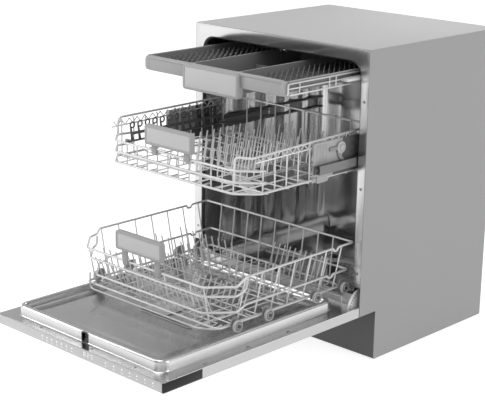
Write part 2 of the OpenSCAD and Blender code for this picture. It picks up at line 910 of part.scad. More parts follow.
// Wheel carriers with their axles, and the clips of the folding tines
module wheel_carriers() {
    plate_x = low_base_half + rim_r * knuckle + 0.2;
    color("#b5b5b5") {
        both_sides() for (y = wheel_ys) {
            block([plate_x, y - 13, low_floor - 8], [plate_x + 3, y + 13, low_floor + 22]);
            along_x(y, wheel_z, plate_x + 2, wheel_x - wheel_w / 2 - 0.3, 6);
            along_x(y, wheel_z, plate_x + 2, wheel_x + wheel_w / 2 + 0.5, axle_r);
            along_x(y, wheel_z, wheel_x + wheel_w / 2 + 0.3, wheel_x + wheel_w / 2 + 2, 5);
        }
        for (x = [48, 192])
            difference() {
                block([x - 3, low_fold_y - 4.5, low_fold_z - 3.1],
                      [x + 3, low_fold_y + 4.5, low_fold_z + 4]);
                along_x(low_fold_y, low_fold_z, x - 4, x + 4, pivot_r + fit);
            }
    }
}

module wheel_pair(y) {
    groove_r = wheel_r - 3;
    color("#b9b9b9") both_sides() translate([wheel_x - wheel_w / 2, y, wheel_z])
        rotate([0, 90, 0]) difference() {
            cylinder(h = wheel_w, r = wheel_r);
            translate([0, 0, -over]) cylinder(h = wheel_w + 2 * over, r = axle_r + fit);
            translate([0, 0, wheel_w - 2]) difference() {
                cylinder(h = 3, r = groove_r);
                translate([0, 0, -over]) cylinder(h = 6, r = axle_r + 3);
            }
        }
}

module front_wheels() { wheel_pair(wheel_ys[0]); }
module second_wheels() { wheel_pair(wheel_ys[1]); }
module third_wheels() { wheel_pair(wheel_ys[2]); }
module rear_wheels() { wheel_pair(wheel_ys[3]); }

// A pull plate with a finger hollow behind and two straps down to the rim
module rack_handle(y, z_low, z_high, strap_low) {
    half = 82;
    depth = 13;
    wall = 3;
    difference() {
        block([-half, y, z_low], [half, y + depth, z_high]);
        block([-half + wall, y + wall, z_low + wall],
              [half - wall, y + depth + over, z_high - wall]);
    }
    both_sides() block([48, y + depth - 4, strap_low], [66, y + depth, z_low + wall]);
}

module lower_rack_handle() {
    color("#8d8d8d") rack_handle(low_front - rim_r - gap - 13, 338, 386, low_lip - 8);
}

// ---- Upper rack ----

up_row_z = up_floor - 0.9;
up_tine_xs = [-72, 0, 72];
up_fold_x = 142;
up_fold_z = up_row_z + 2 * wire_r + 1.5;
up_tine_l = 78;
up_lean = 12;

module upper_rack_hoops() {
    cut = 46;
    s = up_half;
    f = up_front;
    rise = 34;
    band_z = 540;
    second_z = 591;
    tail = 40;
    color("#cccccc") {
        bent_wire([[-s + cut, f, up_lip], [s - cut, f, up_lip], [s, f + cut, up_lip],
                   [s, f + cut + rise, up_rim], [s, up_back - 20, up_rim], [s - 20, up_back, up_rim],
                   [-s + 20, up_back, up_rim], [-s, up_back - 20, up_rim],
                   [-s, f + cut + rise, up_rim], [-s, f + cut, up_lip]], rim_r, closed = true);
        bent_wire([[-s, f + cut + tail, band_z], [-s, f + cut, band_z], [-s + cut, f, band_z],
                   [s - cut, f, band_z], [s, f + cut, band_z], [s, f + cut + tail, band_z]], rim_r);
        both_sides() wire([s, f + cut + rise, second_z], [s, up_back - 20, second_z], wire_r);
        bent_wire([[-s + cut, f, up_floor], [s - cut, f, up_floor], [s, f + cut, up_floor],
                   [s, up_back, up_floor], [-s, up_back, up_floor], [-s, f + cut, up_floor]],
                  rim_r, closed = true);
    }
}

module upper_rack_wires() {
    inner = up_half - rack_gap;
    floor_wire_z = up_floor - rack_gap;
    color("#c8c8c8") {
        both_sides() for (y = [for (i = [0 : 5]) up_front + 85 + i * 62])
            wire([inner, y, up_floor - 4], [inner, y, up_rim], wire_r);
        both_sides() for (x = [for (i = [0 : 4]) (i + 0.5) * 37])
            wire([x, up_front + rack_gap, up_floor - 4], [x, up_front + rack_gap, up_lip],
                 wire_r);
        both_sides() for (x = [for (i = [0 : 3]) (i + 0.5) * 52])
            wire([x, up_back - rack_gap, up_floor - 4], [x, up_back - rack_gap, up_rim],
                 wire_r);
        for (y = [for (i = [0 : 5]) up_front + 70 + i * 72])
            wire([-up_half, y, floor_wire_z], [up_half, y, floor_wire_z], wire_r);
        for (x = concat(up_tine_xs, [-196, -136, up_fold_x, 196]))
            wire([x, up_front + rim_r + gap, up_row_z], [x, up_back - rim_r - gap, up_row_z],
                 wire_r);
        for (x = up_tine_xs, i = [0 : 15])
            wire([x, up_front + 60 + i * tine_pitch, up_row_z + wire_r + lean_gap],
                 [x + up_lean, up_front + 60 + i * tine_pitch, up_row_z + up_tine_l], wire_r);
    }
}

module upper_folding_tines() {
    y_low = up_front + 50;
    y_high = up_back - 22;
    color("#d0d0d0") {
        wire([up_fold_x, y_low, up_fold_z], [up_fold_x, y_high, up_fold_z], pivot_r);
        for (y = [for (i = [0 : 14]) y_low + 16 + i * tine_pitch])
            wire([up_fold_x, y, up_fold_z + pivot_r + lean_gap],
                 [up_fold_x + up_lean, y, up_fold_z + up_tine_l], wire_r);
    }
}

module upper_rack_handle() {
    color("#929292") rack_handle(up_front - rim_r - gap - 13, 584, 634, up_lip - 8);
}

// Water pipe under the upper rack that feeds and carries its spray arm
up_arm_z = dock_z - 18;

module upper_arm_manifold() {
    half = 13;
    low = dock_z - 6;
    high = dock_z + 6;
    color("#c2c2c2") {
        difference() {
            block([-half, up_mid_y - 24, low], [half, up_back - 12, high]);
            along_y(0, dock_z, up_mid_y + 10, up_back, 4.5);
        }
        translate([0, up_mid_y, up_arm_z - 3]) cylinder(h = low - up_arm_z + 4, r = hub_pin_r);
        translate([0, up_mid_y, up_arm_z - 3]) cylinder(h = 2.4, r = hub_pin_r + 4);
        for (y = [up_front + 70 + 3 * 72, up_front + 70 + 5 * 72])
            block([-half, y - 6, high - over], [half, y + 6, up_floor - rack_gap - wire_r - gap]);
    }
}

module upper_spray_arm() {
    color("#d0d0d0") translate([0, up_mid_y, up_arm_z]) rotate([0, 0, -35])
        spray_arm(200, 36, 9.6, hub_pin_r, 6);
}

bracket_x = 255.5;
bracket_t = 2.8;
runner_x = bracket_x + bracket_t;
bracket_y = [-85, 105];
lever_y = 13;
lever_z = 582;
lever_pin_r = 3;
middle_half_h = 11;
rail_mid_z = rail_z + rail_h / 2;
comb_x = -236;
comb_z = 548;
comb_pin_r = 3;
comb_y = [up_front + 60, up_back - 30];

// Plates that hang the upper rack on its runners, and the clips of its folding pieces
module side_brackets() {
    color("#8b8b8b") {
        both_sides() {
            difference() {
                union() {
                    block([bracket_x, bracket_y[0], 504], [runner_x, bracket_y[1], 604]);
                    block([runner_x - gap, bracket_y[0], rail_mid_z - middle_half_h],
                          [runner_x + 3.2, bracket_y[1], rail_mid_z + middle_half_h]);
                    block([runner_x + 3, bracket_y[0], rail_mid_z - 5],
                          [runner_x + 6.4, bracket_y[1], rail_mid_z + 5]);
                    for (z = [up_floor, up_rim - 16], y = [bracket_y[0] + 8, bracket_y[1] - 8])
                        block([up_half + rim_r + 0.1, y - 6, z - 5], [bracket_x + 1, y + 6, z + 5]);
                }
                along_x(lever_y, lever_z, bracket_x - over, runner_x + over, lever_pin_r + fit);
            }
        }
        for (y = [up_front + 78, up_back - 67])
            difference() {
                block([up_fold_x - 4.5, y - 3, up_fold_z - 3.1],
                      [up_fold_x + 4.5, y + 3, up_fold_z + 4]);
                along_y(up_fold_x, up_fold_z, y - 4, y + 4, pivot_r + fit);
            }
        for (y = [comb_y[0] + 12, comb_y[1] - 12])
            difference() {
                block([-up_half + rim_r + 2.4, y - 3, comb_z - 6], [comb_x + 6, y + 3, comb_z + 6]);
                along_y(comb_x, comb_z, y - 4, y + 4, comb_pin_r + fit);
            }
    }
}

// The two levers that raise and lower the rack, on one line
module height_levers() {
    knob_r = 15;
    color("#a0a0a0") both_sides() {
        along_x(lever_y, lever_z, bracket_x + 0.4, runner_x + 2, lever_pin_r);
        along_x(lever_y, lever_z, runner_x + 0.3, runner_x + 6, knob_r);
        along_x(lever_y, lever_z, runner_x + 5, runner_x + 9, 6);
        block([runner_x + 0.3, lever_y - 42, lever_z - 5], [runner_x + 4, lever_y, lever_z + 5]);
    }
}

module middle_rails() {
    y_low = -75;
    y_high = 325;
    x_low = runner_x + 3.7;
    color("#565656") both_sides() difference() {
        block([x_low, y_low, rail_mid_z - middle_half_h],
              [tub_half - 5, y_high, rail_mid_z + middle_half_h]);
        block([x_low - over, y_low - over, rail_mid_z - 6],
              [x_low + 4, y_high + over, rail_mid_z + 6]);
    }
}

// Folding comb that steadies glasses along the left side
module glass_comb() {
    tooth = 26;
    plate_t = 3;
    bar_top = 572;
    loop_z = 590;
    loop_r = 9;
    color("#6a6a6a") {
        along_y(comb_x, comb_z, comb_y[0], comb_y[1], comb_pin_r);
        translate([comb_x - plate_t / 2, 0, 0])
            for (y = [comb_y[0] + 24 : tooth : comb_y[1] - 20]) {
                block([0, y - 3, comb_z], [plate_t, y + 3, loop_z - loop_r + 1.5]);
                difference() {
                    translate([0, y, loop_z]) rotate([0, 90, 0]) cylinder(h = plate_t, r = loop_r);
                    translate([-1, y, loop_z]) rotate([0, 90, 0])
                        cylinder(h = plate_t + 2, r = loop_r - 3);
                }
            }
        block([comb_x - plate_t / 2, comb_y[0] + 20, bar_top - 8],
              [comb_x + plate_t / 2, comb_y[1] - 20, bar_top]);
    }
}

// ---- Cutlery tray ----

tray_wire_x = 245;
tray_wire_r = 2;

module tray_frame() {
    levels = [tray_floor + 4, tray_rail_z, tray_top - 6];
    inside = tray_wire_x - tray_wire_r - gap;
    color("#d2d2d2") {
        both_sides() {
            for (z = levels)
                wire([tray_wire_x, tray_front + 6, z], [tray_wire_x, tray_back, z], tray_wire_r);
            block([tray_wire_x + 1, tray_back - 230, tray_rail_z - 3.7],
                  [tub_half - 8, tray_back, tray_rail_z + 3.7]);
            for (y = [tray_front + 20, 40, tray_back - 12])
                wire([cutlery_mid + 3, y, levels[0]], [inside, y, levels[0]], tray_wire_r);
        }
        for (side = [-1, 1], y = [tray_front + 6, tray_back])
            wire([side * tray_wire_x, y, levels[0] - 1.5], [side * tray_wire_x, y, levels[2] + 1.5],
                 tray_wire_r);
    }
}

grip_half = 96;
grip_low = 700;

module tray_fascia() {
    wall = 3;
    color("#979797") difference() {
        union() {
            block([-tray_half, tray_front, tray_floor], [tray_half, tray_front + 10, tray_top]);
            block([-grip_half, tray_front - 8, grip_low], [grip_half, tray_front + 10, tray_top]);
        }
        block([-grip_half + wall, tray_front - 8 + wall, grip_low - over],
              [grip_half - wall, tray_front + 10 - wall, tray_top - wall]);
    }
}

cutlery_mid = 80;
tray_wall = 2;

// An open tray with a wall all round
module open_tray(low, high) {
    difference() {
        block(low, high);
        block(low + [tray_wall, tray_wall, tray_wall], high + [-tray_wall, -tray_wall, over]);
    }
}

module cutlery_trays() {
    y_low = tray_front + 10.5;
    y_high = tray_back - 4;
    side_floor = 737;
    mid_floor = 706;
    comb_h = 12;
    color("#7b7b7b") {
        both_sides() {
            open_tray([cutlery_mid + 1, y_low, side_floor],
                      [tray_wire_x - tray_wire_r - 1, y_high, tray_top]);
            for (x = [118, 152, 186, 218])
                block([x, y_low + 20, side_floor + 1],
                      [x + tray_wall, y_high - 20, side_floor + comb_h]);
        }
        open_tray([-cutlery_mid, y_low, mid_floor], [cutlery_mid, y_high, tray_top]);
        for (y = [-60, 60])
            block([-cutlery_mid + 1, y, mid_floor + 1],
                  [cutlery_mid - 1, y + tray_wall, mid_floor + 30]);
    }
}

side_panel_left();
side_panel_right();
top_panel();
rear_panel();
base_tray();
plinth();
levelling_feet();
front_frame();
tub_wrapper();
tub_back();
tub_base();
door_gasket();
sump();
circulation_pump();
drain_pump();
salt_container();
inlet_valve();
drain_connector();
mains_inlet();
control_module();
feed_tube();
wall_rails();
latch_striker();
door_outer_panel();
door_liner();
control_strip();
door_side_caps();
dispenser_body();
hinge_arms();
door_springs();
filter_cylinder();
salt_cap();
pump_impeller();
lower_spray_arm();
ceiling_spray_arm();
door_latch();
dispenser_lid();
rinse_aid_cap();
lower_rack_hoops();
lower_rack_wires();
lower_rack_handle();
wheel_carriers();
front_wheels();
second_wheels();
third_wheels();
rear_wheels();
lower_folding_tines();
upper_rack_hoops();
upper_rack_wires();
upper_rack_handle();
upper_arm_manifold();
upper_spray_arm();
side_brackets();
height_levers();
middle_rails();
upper_folding_tines();
glass_comb();
tray_frame();
tray_fascia();
cutlery_trays();
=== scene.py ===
"""Built-in dishwasher, door open flat, with both racks and the cutlery tray pulled out."""

import math

import bmesh
import bpy
from mathutils import Matrix, Vector


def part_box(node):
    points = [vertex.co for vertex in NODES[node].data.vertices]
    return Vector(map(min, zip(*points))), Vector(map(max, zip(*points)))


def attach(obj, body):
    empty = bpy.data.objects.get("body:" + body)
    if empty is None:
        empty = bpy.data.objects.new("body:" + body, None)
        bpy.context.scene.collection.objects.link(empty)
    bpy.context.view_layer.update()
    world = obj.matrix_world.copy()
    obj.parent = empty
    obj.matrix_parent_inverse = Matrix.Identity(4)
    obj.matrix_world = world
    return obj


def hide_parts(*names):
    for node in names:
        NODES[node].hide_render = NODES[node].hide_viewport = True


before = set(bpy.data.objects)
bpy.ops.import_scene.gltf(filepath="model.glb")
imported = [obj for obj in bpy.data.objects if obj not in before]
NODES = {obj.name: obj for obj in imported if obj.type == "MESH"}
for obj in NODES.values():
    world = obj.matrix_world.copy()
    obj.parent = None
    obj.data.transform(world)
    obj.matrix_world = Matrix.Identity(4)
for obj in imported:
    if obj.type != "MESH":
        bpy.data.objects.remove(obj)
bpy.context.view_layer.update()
SCENE = bpy.context.scene

# Pieces are built in millimetres and scaled to metres when they are finished.
MM = 0.001
SIDES = (-1, 1)


# ---- Camera, light and floor ----


def grey(level, tint):
    """Linear colour of an 8-bit grey level."""
    c = level / 255
    linear = c / 12.92 if c <= 0.04045 else ((c + 0.055) / 1.055) ** 2.4
    return [linear * t for t in tint]


def set_sockets(node, **values):
    """Sets input sockets by name, where an underscore stands for a space."""
    for name, value in values.items():
        node.inputs[name.replace("_", " ")].default_value = value
    return node


def add_node(tree, kind, **values):
    return set_sockets(tree.nodes.new("ShaderNode" + kind), **values)


def add_ramp(tree, *stops):
    """A colour ramp between two (position, colour) stops."""
    ramp = add_node(tree, "ValToRGB")
    for element, (position, colour) in zip(ramp.color_ramp.elements, stops):
        element.position = position
        element.color = (*colour, 1)
    return ramp


def join(tree, *links):
    """Links sockets, each link given as node, output, node, input."""
    for source, output, target, socket in links:
        tree.links.new(source.outputs[output], target.inputs[socket])


def place(name, data):
    """Puts a new object in the scene."""
    made = bpy.data.objects.new(name, data)
    SCENE.collection.objects.link(made)
    return made


def make_camera():
    place_at, lens, sensor = (2.2871, -2.4646, 1.3519), 99.87, 36
    yaw, pitch, roll = -0.7599, 0.2772, 0.017
    forward = Vector((math.sin(yaw) * math.cos(pitch), math.cos(yaw) * math.cos(pitch), -math.sin(pitch)))
    right = Vector((math.cos(yaw), -math.sin(yaw), 0))
    up = right.cross(forward)
    x_axis = math.cos(roll) * right + math.sin(roll) * up
    y_axis = -math.sin(roll) * right + math.cos(roll) * up
    camera = place("camera", bpy.data.cameras.new("camera"))
    camera.data.sensor_width, camera.data.lens, camera.data.clip_end = sensor, lens, 100
    camera.matrix_world = Matrix.Translation(place_at) @ Matrix((x_axis, y_axis, -forward)).transposed().to_4x4()
    SCENE.camera = camera


def area_light(name, location, target, size, power):
    light = place(name, bpy.data.lights.new(name, "AREA"))
    light.data.shape = "RECTANGLE"
    light.data.size, light.data.size_y = size
    light.data.energy = power
    light.location = location
    light.rotation_euler = (Vector(target) - Vector(location)).to_track_quat("-Z", "Y").to_euler()


def make_world():
    """A pale studio whose horizon is darker in places, so that steel has something to reflect."""
    world = bpy.data.worlds.new("studio")
    SCENE.world = world
    world.use_nodes = True
    tree = world.node_tree
    background = set_sockets(tree.nodes["Background"], Strength=0.75)
    coords = add_node(tree, "TexCoord")
    stretch = add_node(tree, "Mapping", Scale=(1.6, 1.6, 0.7))
    noise = add_node(tree, "TexNoise", Scale=1.5, Detail=1.0)
    ramp = add_ramp(tree, (0.40, (0.30, 0.30, 0.30)), (0.62, (1, 1, 1)))
    join(tree, (coords, "Generated", stretch, "Vector"), (stretch, "Vector", noise, "Vector"),
         (noise, "Fac", ramp, "Fac"), (ramp, "Color", background, "Color"))


def make_stage():
    """A matt floor that glows a little, so that it stays as pale as the light round it."""
    half = 20
    mesh = bpy.data.meshes.new("studio_floor")
    mesh.from_pydata([(-half, -half, 0), (half, -half, 0), (half, half, 0), (-half, half, 0)], [], [(0, 1, 2, 3)])
    paint = bpy.data.materials.new("studio_floor")
    paint.use_nodes = True
    set_sockets(paint.node_tree.nodes["Principled BSDF"], Base_Color=(0.55, 0.55, 0.55, 1), Roughness=1.0,
                Specular_IOR_Level=0.0, Emission_Color=(1, 1, 1, 1), Emission_Strength=0.78)
    mesh.materials.append(paint)
    place("studio_floor", mesh)


make_camera()
make_world()
make_stage()
SCENE.view_settings.view_transform = "Standard"
area_light("key_above", (-0.6, -1.2, 3.6), (0, 0.1, 0.5), (3.0, 2.4), 62)
area_light("fill_left", (-3.0, -2.6, 1.7), (0, 0, 0.5), (1.6, 2.2), 34)
area_light("fill_right", (3.4, 0.6, 1.9), (0, 0.3, 0.4), (1.6, 2.4), 30)
area_light("fill_back", (-1.5, 3.4, 2.0), (0, 0.4, 0.5), (1.6, 1.6), 24)


# ---- Materials ----


GRAIN_DEPTH = 0.08 * MM
FINE_SHARE, BROAD_SHARE = 0.6, 0.4
NOISE_LOW, NOISE_HIGH = 0.3, 0.7


def surface(name, level, roughness, metallic=0.0, grain=900.0, stretch=(1, 1, 1), spread=0.06, rough_spread=0.06,
            bump=0.12, wave=0.0, wave_scale=5.0, tint=(1.0, 1.0, 1.0), specular=0.5):
    """A finish with a fine grain in colour, roughness and relief, and a slow wave for thin sheet."""
    made = bpy.data.materials.new(name)
    made.use_nodes = True
    tree = made.node_tree
    shader = set_sockets(tree.nodes["Principled BSDF"], Metallic=metallic, Specular_IOR_Level=specular)
    coords = add_node(tree, "TexCoord")
    mapping = add_node(tree, "Mapping", Scale=stretch)
    fine = add_node(tree, "TexNoise", Scale=grain, Detail=4.0)
    broad = add_node(tree, "TexNoise", Scale=wave_scale, Detail=2.0)
    both, share = add_node(tree, "Math"), add_node(tree, "Math")
    both.operation, share.operation = "MULTIPLY_ADD", "MULTIPLY"
    both.inputs[1].default_value, share.inputs[1].default_value = FINE_SHARE, BROAD_SHARE
    ramp = add_ramp(tree, *((position, [min(c * factor, 1.0) for c in grey(level, tint)])
                            for position, factor in ((NOISE_LOW, 1 - spread), (NOISE_HIGH, 1 + spread))))
    rough = add_node(tree, "MapRange", From_Min=NOISE_LOW, From_Max=NOISE_HIGH,
                     To_Min=max(roughness - rough_spread, 0.02), To_Max=min(roughness + rough_spread, 1.0))
    relief = add_node(tree, "Bump", Strength=bump, Distance=GRAIN_DEPTH)
    join(tree, (coords, "Object", mapping, "Vector"), (mapping, "Vector", fine, "Vector"),
         (coords, "Object", broad, "Vector"), (fine, "Fac", both, 0), (broad, "Fac", share, 0), (share, 0, both, 2),
         (both, 0, ramp, "Fac"), (ramp, "Color", shader, "Base Color"), (both, 0, rough, "Value"),
         (rough, "Result", shader, "Roughness"), (fine, "Fac", relief, "Height"),
         (relief, "Normal", shader, "Normal"))
    if wave:
        slow = add_node(tree, "Bump", Strength=1.0, Distance=wave * MM)
        join(tree, (broad, "Fac", slow, "Height"), (slow, "Normal", relief, "Normal"))
    return made


def moulding(name, level, roughness, grain=1300, spread=0.05, bump=0.22, **more):
    """A finish for plastic, rubber, print or paint."""
    return surface(name, level, roughness, 0.0, grain, spread=spread, bump=bump, **more)


# The top's paint is the side paint made paler: painted light on the upward-facing sheet.
TOP_SHEET_WITH_PAINTED_LIGHT = moulding("top_paint_with_painted_light", 176, 0.62, 700, 0.03, 0.10, wave=0.2, wave_scale=4, specular=0.25)
SIDE_SHEET = moulding("painted_side", 152, 0.6, 700, 0.03, 0.10, wave=0.2, wave_scale=4, specular=0.25)
REAR_SHEET = surface("galvanised_sheet", 168, 0.38, 0.8, 60, spread=0.12, bump=0.08, wave=0.4)
DOOR_SHEET = surface("brushed_door_sheet", 186, 0.30, 0.9, 260, (1, 18, 18), 0.05, bump=0.16, wave=0.2)
FRAME_STEEL = surface("polished_front_frame", 206, 0.24, 1.0, 300, (14, 14, 1), 0.04, bump=0.05, wave=0.5)
TUB_STEEL = surface("polished_tub", 222, 0.20, 1.0, 260, (16, 16, 1), 0.07, 0.05, bump=0.05, wave=1.6, wave_scale=7)
BASE_STEEL = surface("polished_tub_floor", 226, 0.20, 1.0, 300, (1, 14, 14), 0.07, bump=0.05, wave=1.6, wave_scale=8)
LINER_STEEL = surface("polished_liner", 212, 0.24, 1.0, 300, (1, 16, 16), 0.05, 0.04, bump=0.02, wave=1.3,
                      wave_scale=7)
RACK_WIRE = surface("coated_wire", 206, 0.30, 0.35, 1200, spread=0.04, bump=0.08, specular=0.6)
TINE_WIRE = surface("coated_tine", 200, 0.32, 0.30, 1200, spread=0.04, bump=0.08, specular=0.6)
GRIP_PLASTIC = moulding("grip_plastic", 152, 0.48, 1500, bump=0.25)
GRIP_INSET = moulding("grip_inset", 182, 0.36, 1500, 0.04, 0.18)
PALE_PLASTIC = moulding("pale_moulding", 196, 0.42, 1300, 0.04, 0.2)
WHEEL_PLASTIC = moulding("wheel_moulding", 176, 0.45)
GREY_PLASTIC = moulding("grey_moulding", 138, 0.46)
MID_PLASTIC = moulding("mid_moulding", 112, 0.48)
DARK_PLASTIC = moulding("dark_moulding", 62, 0.5, 1300, 0.08, 0.25)
BLACK_CAP = moulding("black_cap", 22, 0.45, 900, 0.1, 0.12, specular=0.3)
PLINTH_PAINT = moulding("plinth_paint", 74, 0.55, 900, 0.06, 0.2)
COMB_PLASTIC = moulding("comb_moulding", 82, 0.46, 1300, 0.06)
RAIL_PLASTIC = moulding("rail_moulding", 74, 0.4, 1300, 0.07, 0.2)
BRACKET_PLASTIC = moulding("bracket_moulding", 158, 0.46)
GUARD_STEEL = surface("guard_steel", 208, 0.34, 0.45, 500, spread=0.05, bump=0.12)
RUBBER = moulding("seal_rubber", 58, 0.72, 1400, 0.1, 0.35)
STRIP_FACE = surface("strip_face", 184, 0.34, 0.2, 420, (1, 12, 12), 0.03, bump=0.08)
MARK_WHITE = moulding("mark_print", 246, 0.4, 1200, 0.01, 0.02)
SPRING_STEEL = surface("spring_steel", 160, 0.3, 1.0, 600, spread=0.08, bump=0.1)
SILL_STEEL = surface("satin_sill", 232, 0.45, 0.6, 400, (1, 10, 10), 0.03, bump=0.05)
ZINC_STEEL = surface("zinc_steel", 196, 0.24, 1.0, 300, (1, 10, 10), 0.06, bump=0.08, wave=0.3)
RAIL_STEEL = surface("rail_steel", 120, 0.32, 0.9, 400, (10, 1, 10), 0.08, bump=0.1)
PUMP_PLASTIC = moulding("pump_moulding", 66, 0.5, 1000, 0.08, 0.25, tint=(0.9, 0.98, 1.12))
WATER_PLASTIC = moulding("water_moulding", 92, 0.46, 1000, 0.07, tint=(0.94, 1.0, 1.07))
CAP_PLASTIC = moulding("rinse_cap", 128, 0.4, 1200, bump=0.18, tint=(0.88, 0.96, 1.08))


# ---- Mesh tools ----


def ring_path(points, radius, closed=False, steps=4):
    """The polyline with each corner rounded, as a bent wire is."""
    points = [Vector(p) for p in points]
    count = len(points)
    path = []
    for i, corner in enumerate(points):
        before, after = points[i - 1], points[(i + 1) % count]
        if (not closed and i in (0, count - 1)) or (before - corner).angle(after - corner) > 3.08:
            path.append(corner)
            continue
        u, v = before - corner, after - corner
        cut = min(radius / math.tan(u.angle(v) / 2), 0.47 * u.length, 0.47 * v.length)
        start, end = corner + u.normalized() * cut, corner + v.normalized() * cut
        for s in range(steps + 1):
            t = s / steps
            path.append(start * (1 - t) ** 2 + corner * 2 * t * (1 - t) + end * t * t)
    return path


def tube(bm, path, radius, closed=False, sides=8):
    """Sweeps a round section along a path, with domed ends."""
    path = [Vector(p) for p in path]
    count = len(path)
    tangents = []
    for i in range(count):
        a = path[i - 1] if closed or i else path[i]
        b = path[(i + 1) % count] if closed or i < count - 1 else path[i]
        tangents.append((b - a).normalized())
    normal = tangents[0].orthogonal().normalized()
    rings = []
    for i, (point, tangent) in enumerate(zip(path, tangents)):
        if i:
            normal = tangents[i - 1].rotation_difference(tangent) @ normal
        normal = (normal - tangent * normal.dot(tangent)).normalized()
        side = tangent.cross(normal)
        rings.append([bm.verts.new(point + (normal * math.cos(k * math.tau / sides)
                                            + side * math.sin(k * math.tau / sides)) * radius)
                      for k in range(sides)])
    for low, high in zip(rings, rings[1:]):
        for k in range(sides):
            bm.faces.new((low[k], low[(k + 1) % sides], high[(k + 1) % sides], high[k]))
    if closed:
        shift = min(range(sides), key=lambda s: (rings[0][s].co - rings[-1][0].co).length)
        last, first = rings[-1], rings[0]
        for k in range(sides):
            bm.faces.new((last[k], last[(k + 1) % sides], first[(k + 1 + shift) % sides],
                          first[(k + shift) % sides]))
        return
    for ring, point, outward in ((rings[0], path[0], -tangents[0]), (rings[-1], path[-1], tangents[-1])):
        inner = [bm.verts.new(point + (v.co - point) * 0.66 + outward * radius * 0.45) for v in ring]
        tip = bm.verts.new(point + outward * radius * 0.62)
        for k in range(sides):
            bm.faces.new((ring[k], ring[(k + 1) % sides], inner[(k + 1) % sides], inner[k]))
            bm.faces.new((inner[k], inner[(k + 1) % sides], tip))


def block(bm, low, high, ease=0.0, steps=2):
    """A box between two corners, with its edges eased."""
    low, high = Vector(low), Vector(high)
    size = high - low
    made = bmesh.ops.create_cube(bm, size=1.0)["verts"]
    for v in made:
        v.co = Vector((low[i] + size[i] * (v.co[i] + 0.5) for i in range(3)))
    if ease:
        edges = list({e for v in made for e in v.link_edges})
        bmesh.ops.bevel(bm, geom=edges, offset=min(ease, 0.45 * min(size)), segments=steps,
                        profile=0.5, affect="EDGES")


def span_x(side, near, far):
    """Low and high x of a span given by its distances from the middle plane."""
    return (near, far) if side > 0 else (-far, -near)


def side_block(bm, side, low, high, ease=0.0, steps=2):
    """A box on one side, whose x values are distances from the middle plane."""
    near, far = span_x(side, low[0], high[0])
    block(bm, (near, *low[1:]), (far, *high[1:]), ease, steps)


def on_circle(u, v, radius, degrees):
    a = math.radians(degrees)
    return u + radius * math.cos(a), v + radius * math.sin(a)


def round_rect(low, high, radius, steps=6):
    """Corner-rounded rectangle as 2-D points, counter-clockwise."""
    corners = ((high[0] - radius, high[1] - radius), (low[0] + radius, high[1] - radius),
               (low[0] + radius, low[1] + radius), (high[0] - radius, low[1] + radius))
    return [on_circle(*corner, radius, 90 * (quarter + s / steps))
            for quarter, corner in enumerate(corners) for s in range(steps + 1)]


def lift(points, axis, level):
    """2-D points put on the plane axis = level."""
    at = "XYZ".index(axis)
    return [Vector((*point[:at], level, *point[at:])) for point in points]


def inset_rings(low, high, corner, axis, steps, least, rings):
    """A corner-rounded rectangle at each (inset, level), drawn in on all sides by the inset."""
    return [lift(round_rect((low[0] + inset, low[1] + inset), (high[0] - inset, high[1] - inset),
                            max(corner - inset, least), steps), axis, level) for inset, level in rings]


def loft(bm, rings, cap=(False, False), open_rings=False):
    """Skins a stack of rings with the same number of points."""
    made = [[bm.verts.new(p) for p in ring] for ring in rings]
    count = len(made[0])
    for low, high in zip(made, made[1:]):
        for k in range(count - 1 if open_rings else count):
            bm.faces.new((low[k], low[(k + 1) % count], high[(k + 1) % count], high[k]))
    if cap[0]:
        bm.faces.new(made[0][::-1])
    if cap[1]:
        bm.faces.new(made[-1])


def prism(bm, outline, axis, low, high):
    """An outline given a thickness."""
    loft(bm, [lift(outline, axis, low), lift(outline, axis, high)], cap=(True, True))


def lathe(bm, profile, centre, axis="Z", turns=32, flip=1):
    """Turns (radius, height) pairs round an axis through centre."""
    centre = Vector(centre)
    rings = [[centre + p for p in lift([on_circle(0, 0, radius, 360 * k / turns) for k in range(turns)],
                                       axis, height * flip)] for radius, height in profile]
    loft(bm, rings, cap=(profile[0][0] > 0.01, profile[-1][0] > 0.01))


def finish(bm, name, material, body, replaces=(), smooth=38, bevel=0.0):
    """Turns the mesh into a piece that rides on a body."""
    bmesh.ops.remove_doubles(bm, verts=bm.verts, dist=0.001)
    bmesh.ops.recalc_face_normals(bm, faces=bm.faces)
    bmesh.ops.scale(bm, vec=(MM, MM, MM), verts=bm.verts)
    mesh = bpy.data.meshes.new(name)
    bm.to_mesh(mesh)
    bm.free()
    mesh.shade_smooth()
    mesh.set_sharp_from_angle(angle=math.radians(smooth))
    mesh.materials.append(material)
    piece = bpy.data.objects.new(name, mesh)
    SCENE.collection.objects.link(piece)
    if bevel:
        ease = piece.modifiers.new("ease", "BEVEL")
        ease.width = bevel * MM
        ease.segments = 2
        ease.limit_method = "ANGLE"
        ease.angle_limit = math.radians(40)
        ease.harden_normals = True
    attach(piece, body)
    if replaces:
        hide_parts(*replaces)
    return piece


def dress(node, material):
    """Gives a CAD node that keeps its shape a detailed finish."""
    for slot in NODES[node].material_slots:
        slot.material = material


def limits(node):
    """Low and high corner of a CAD node in millimetres."""
    low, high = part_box(node)
    return low / MM, high / MM


# ---- Cabinet shell ----


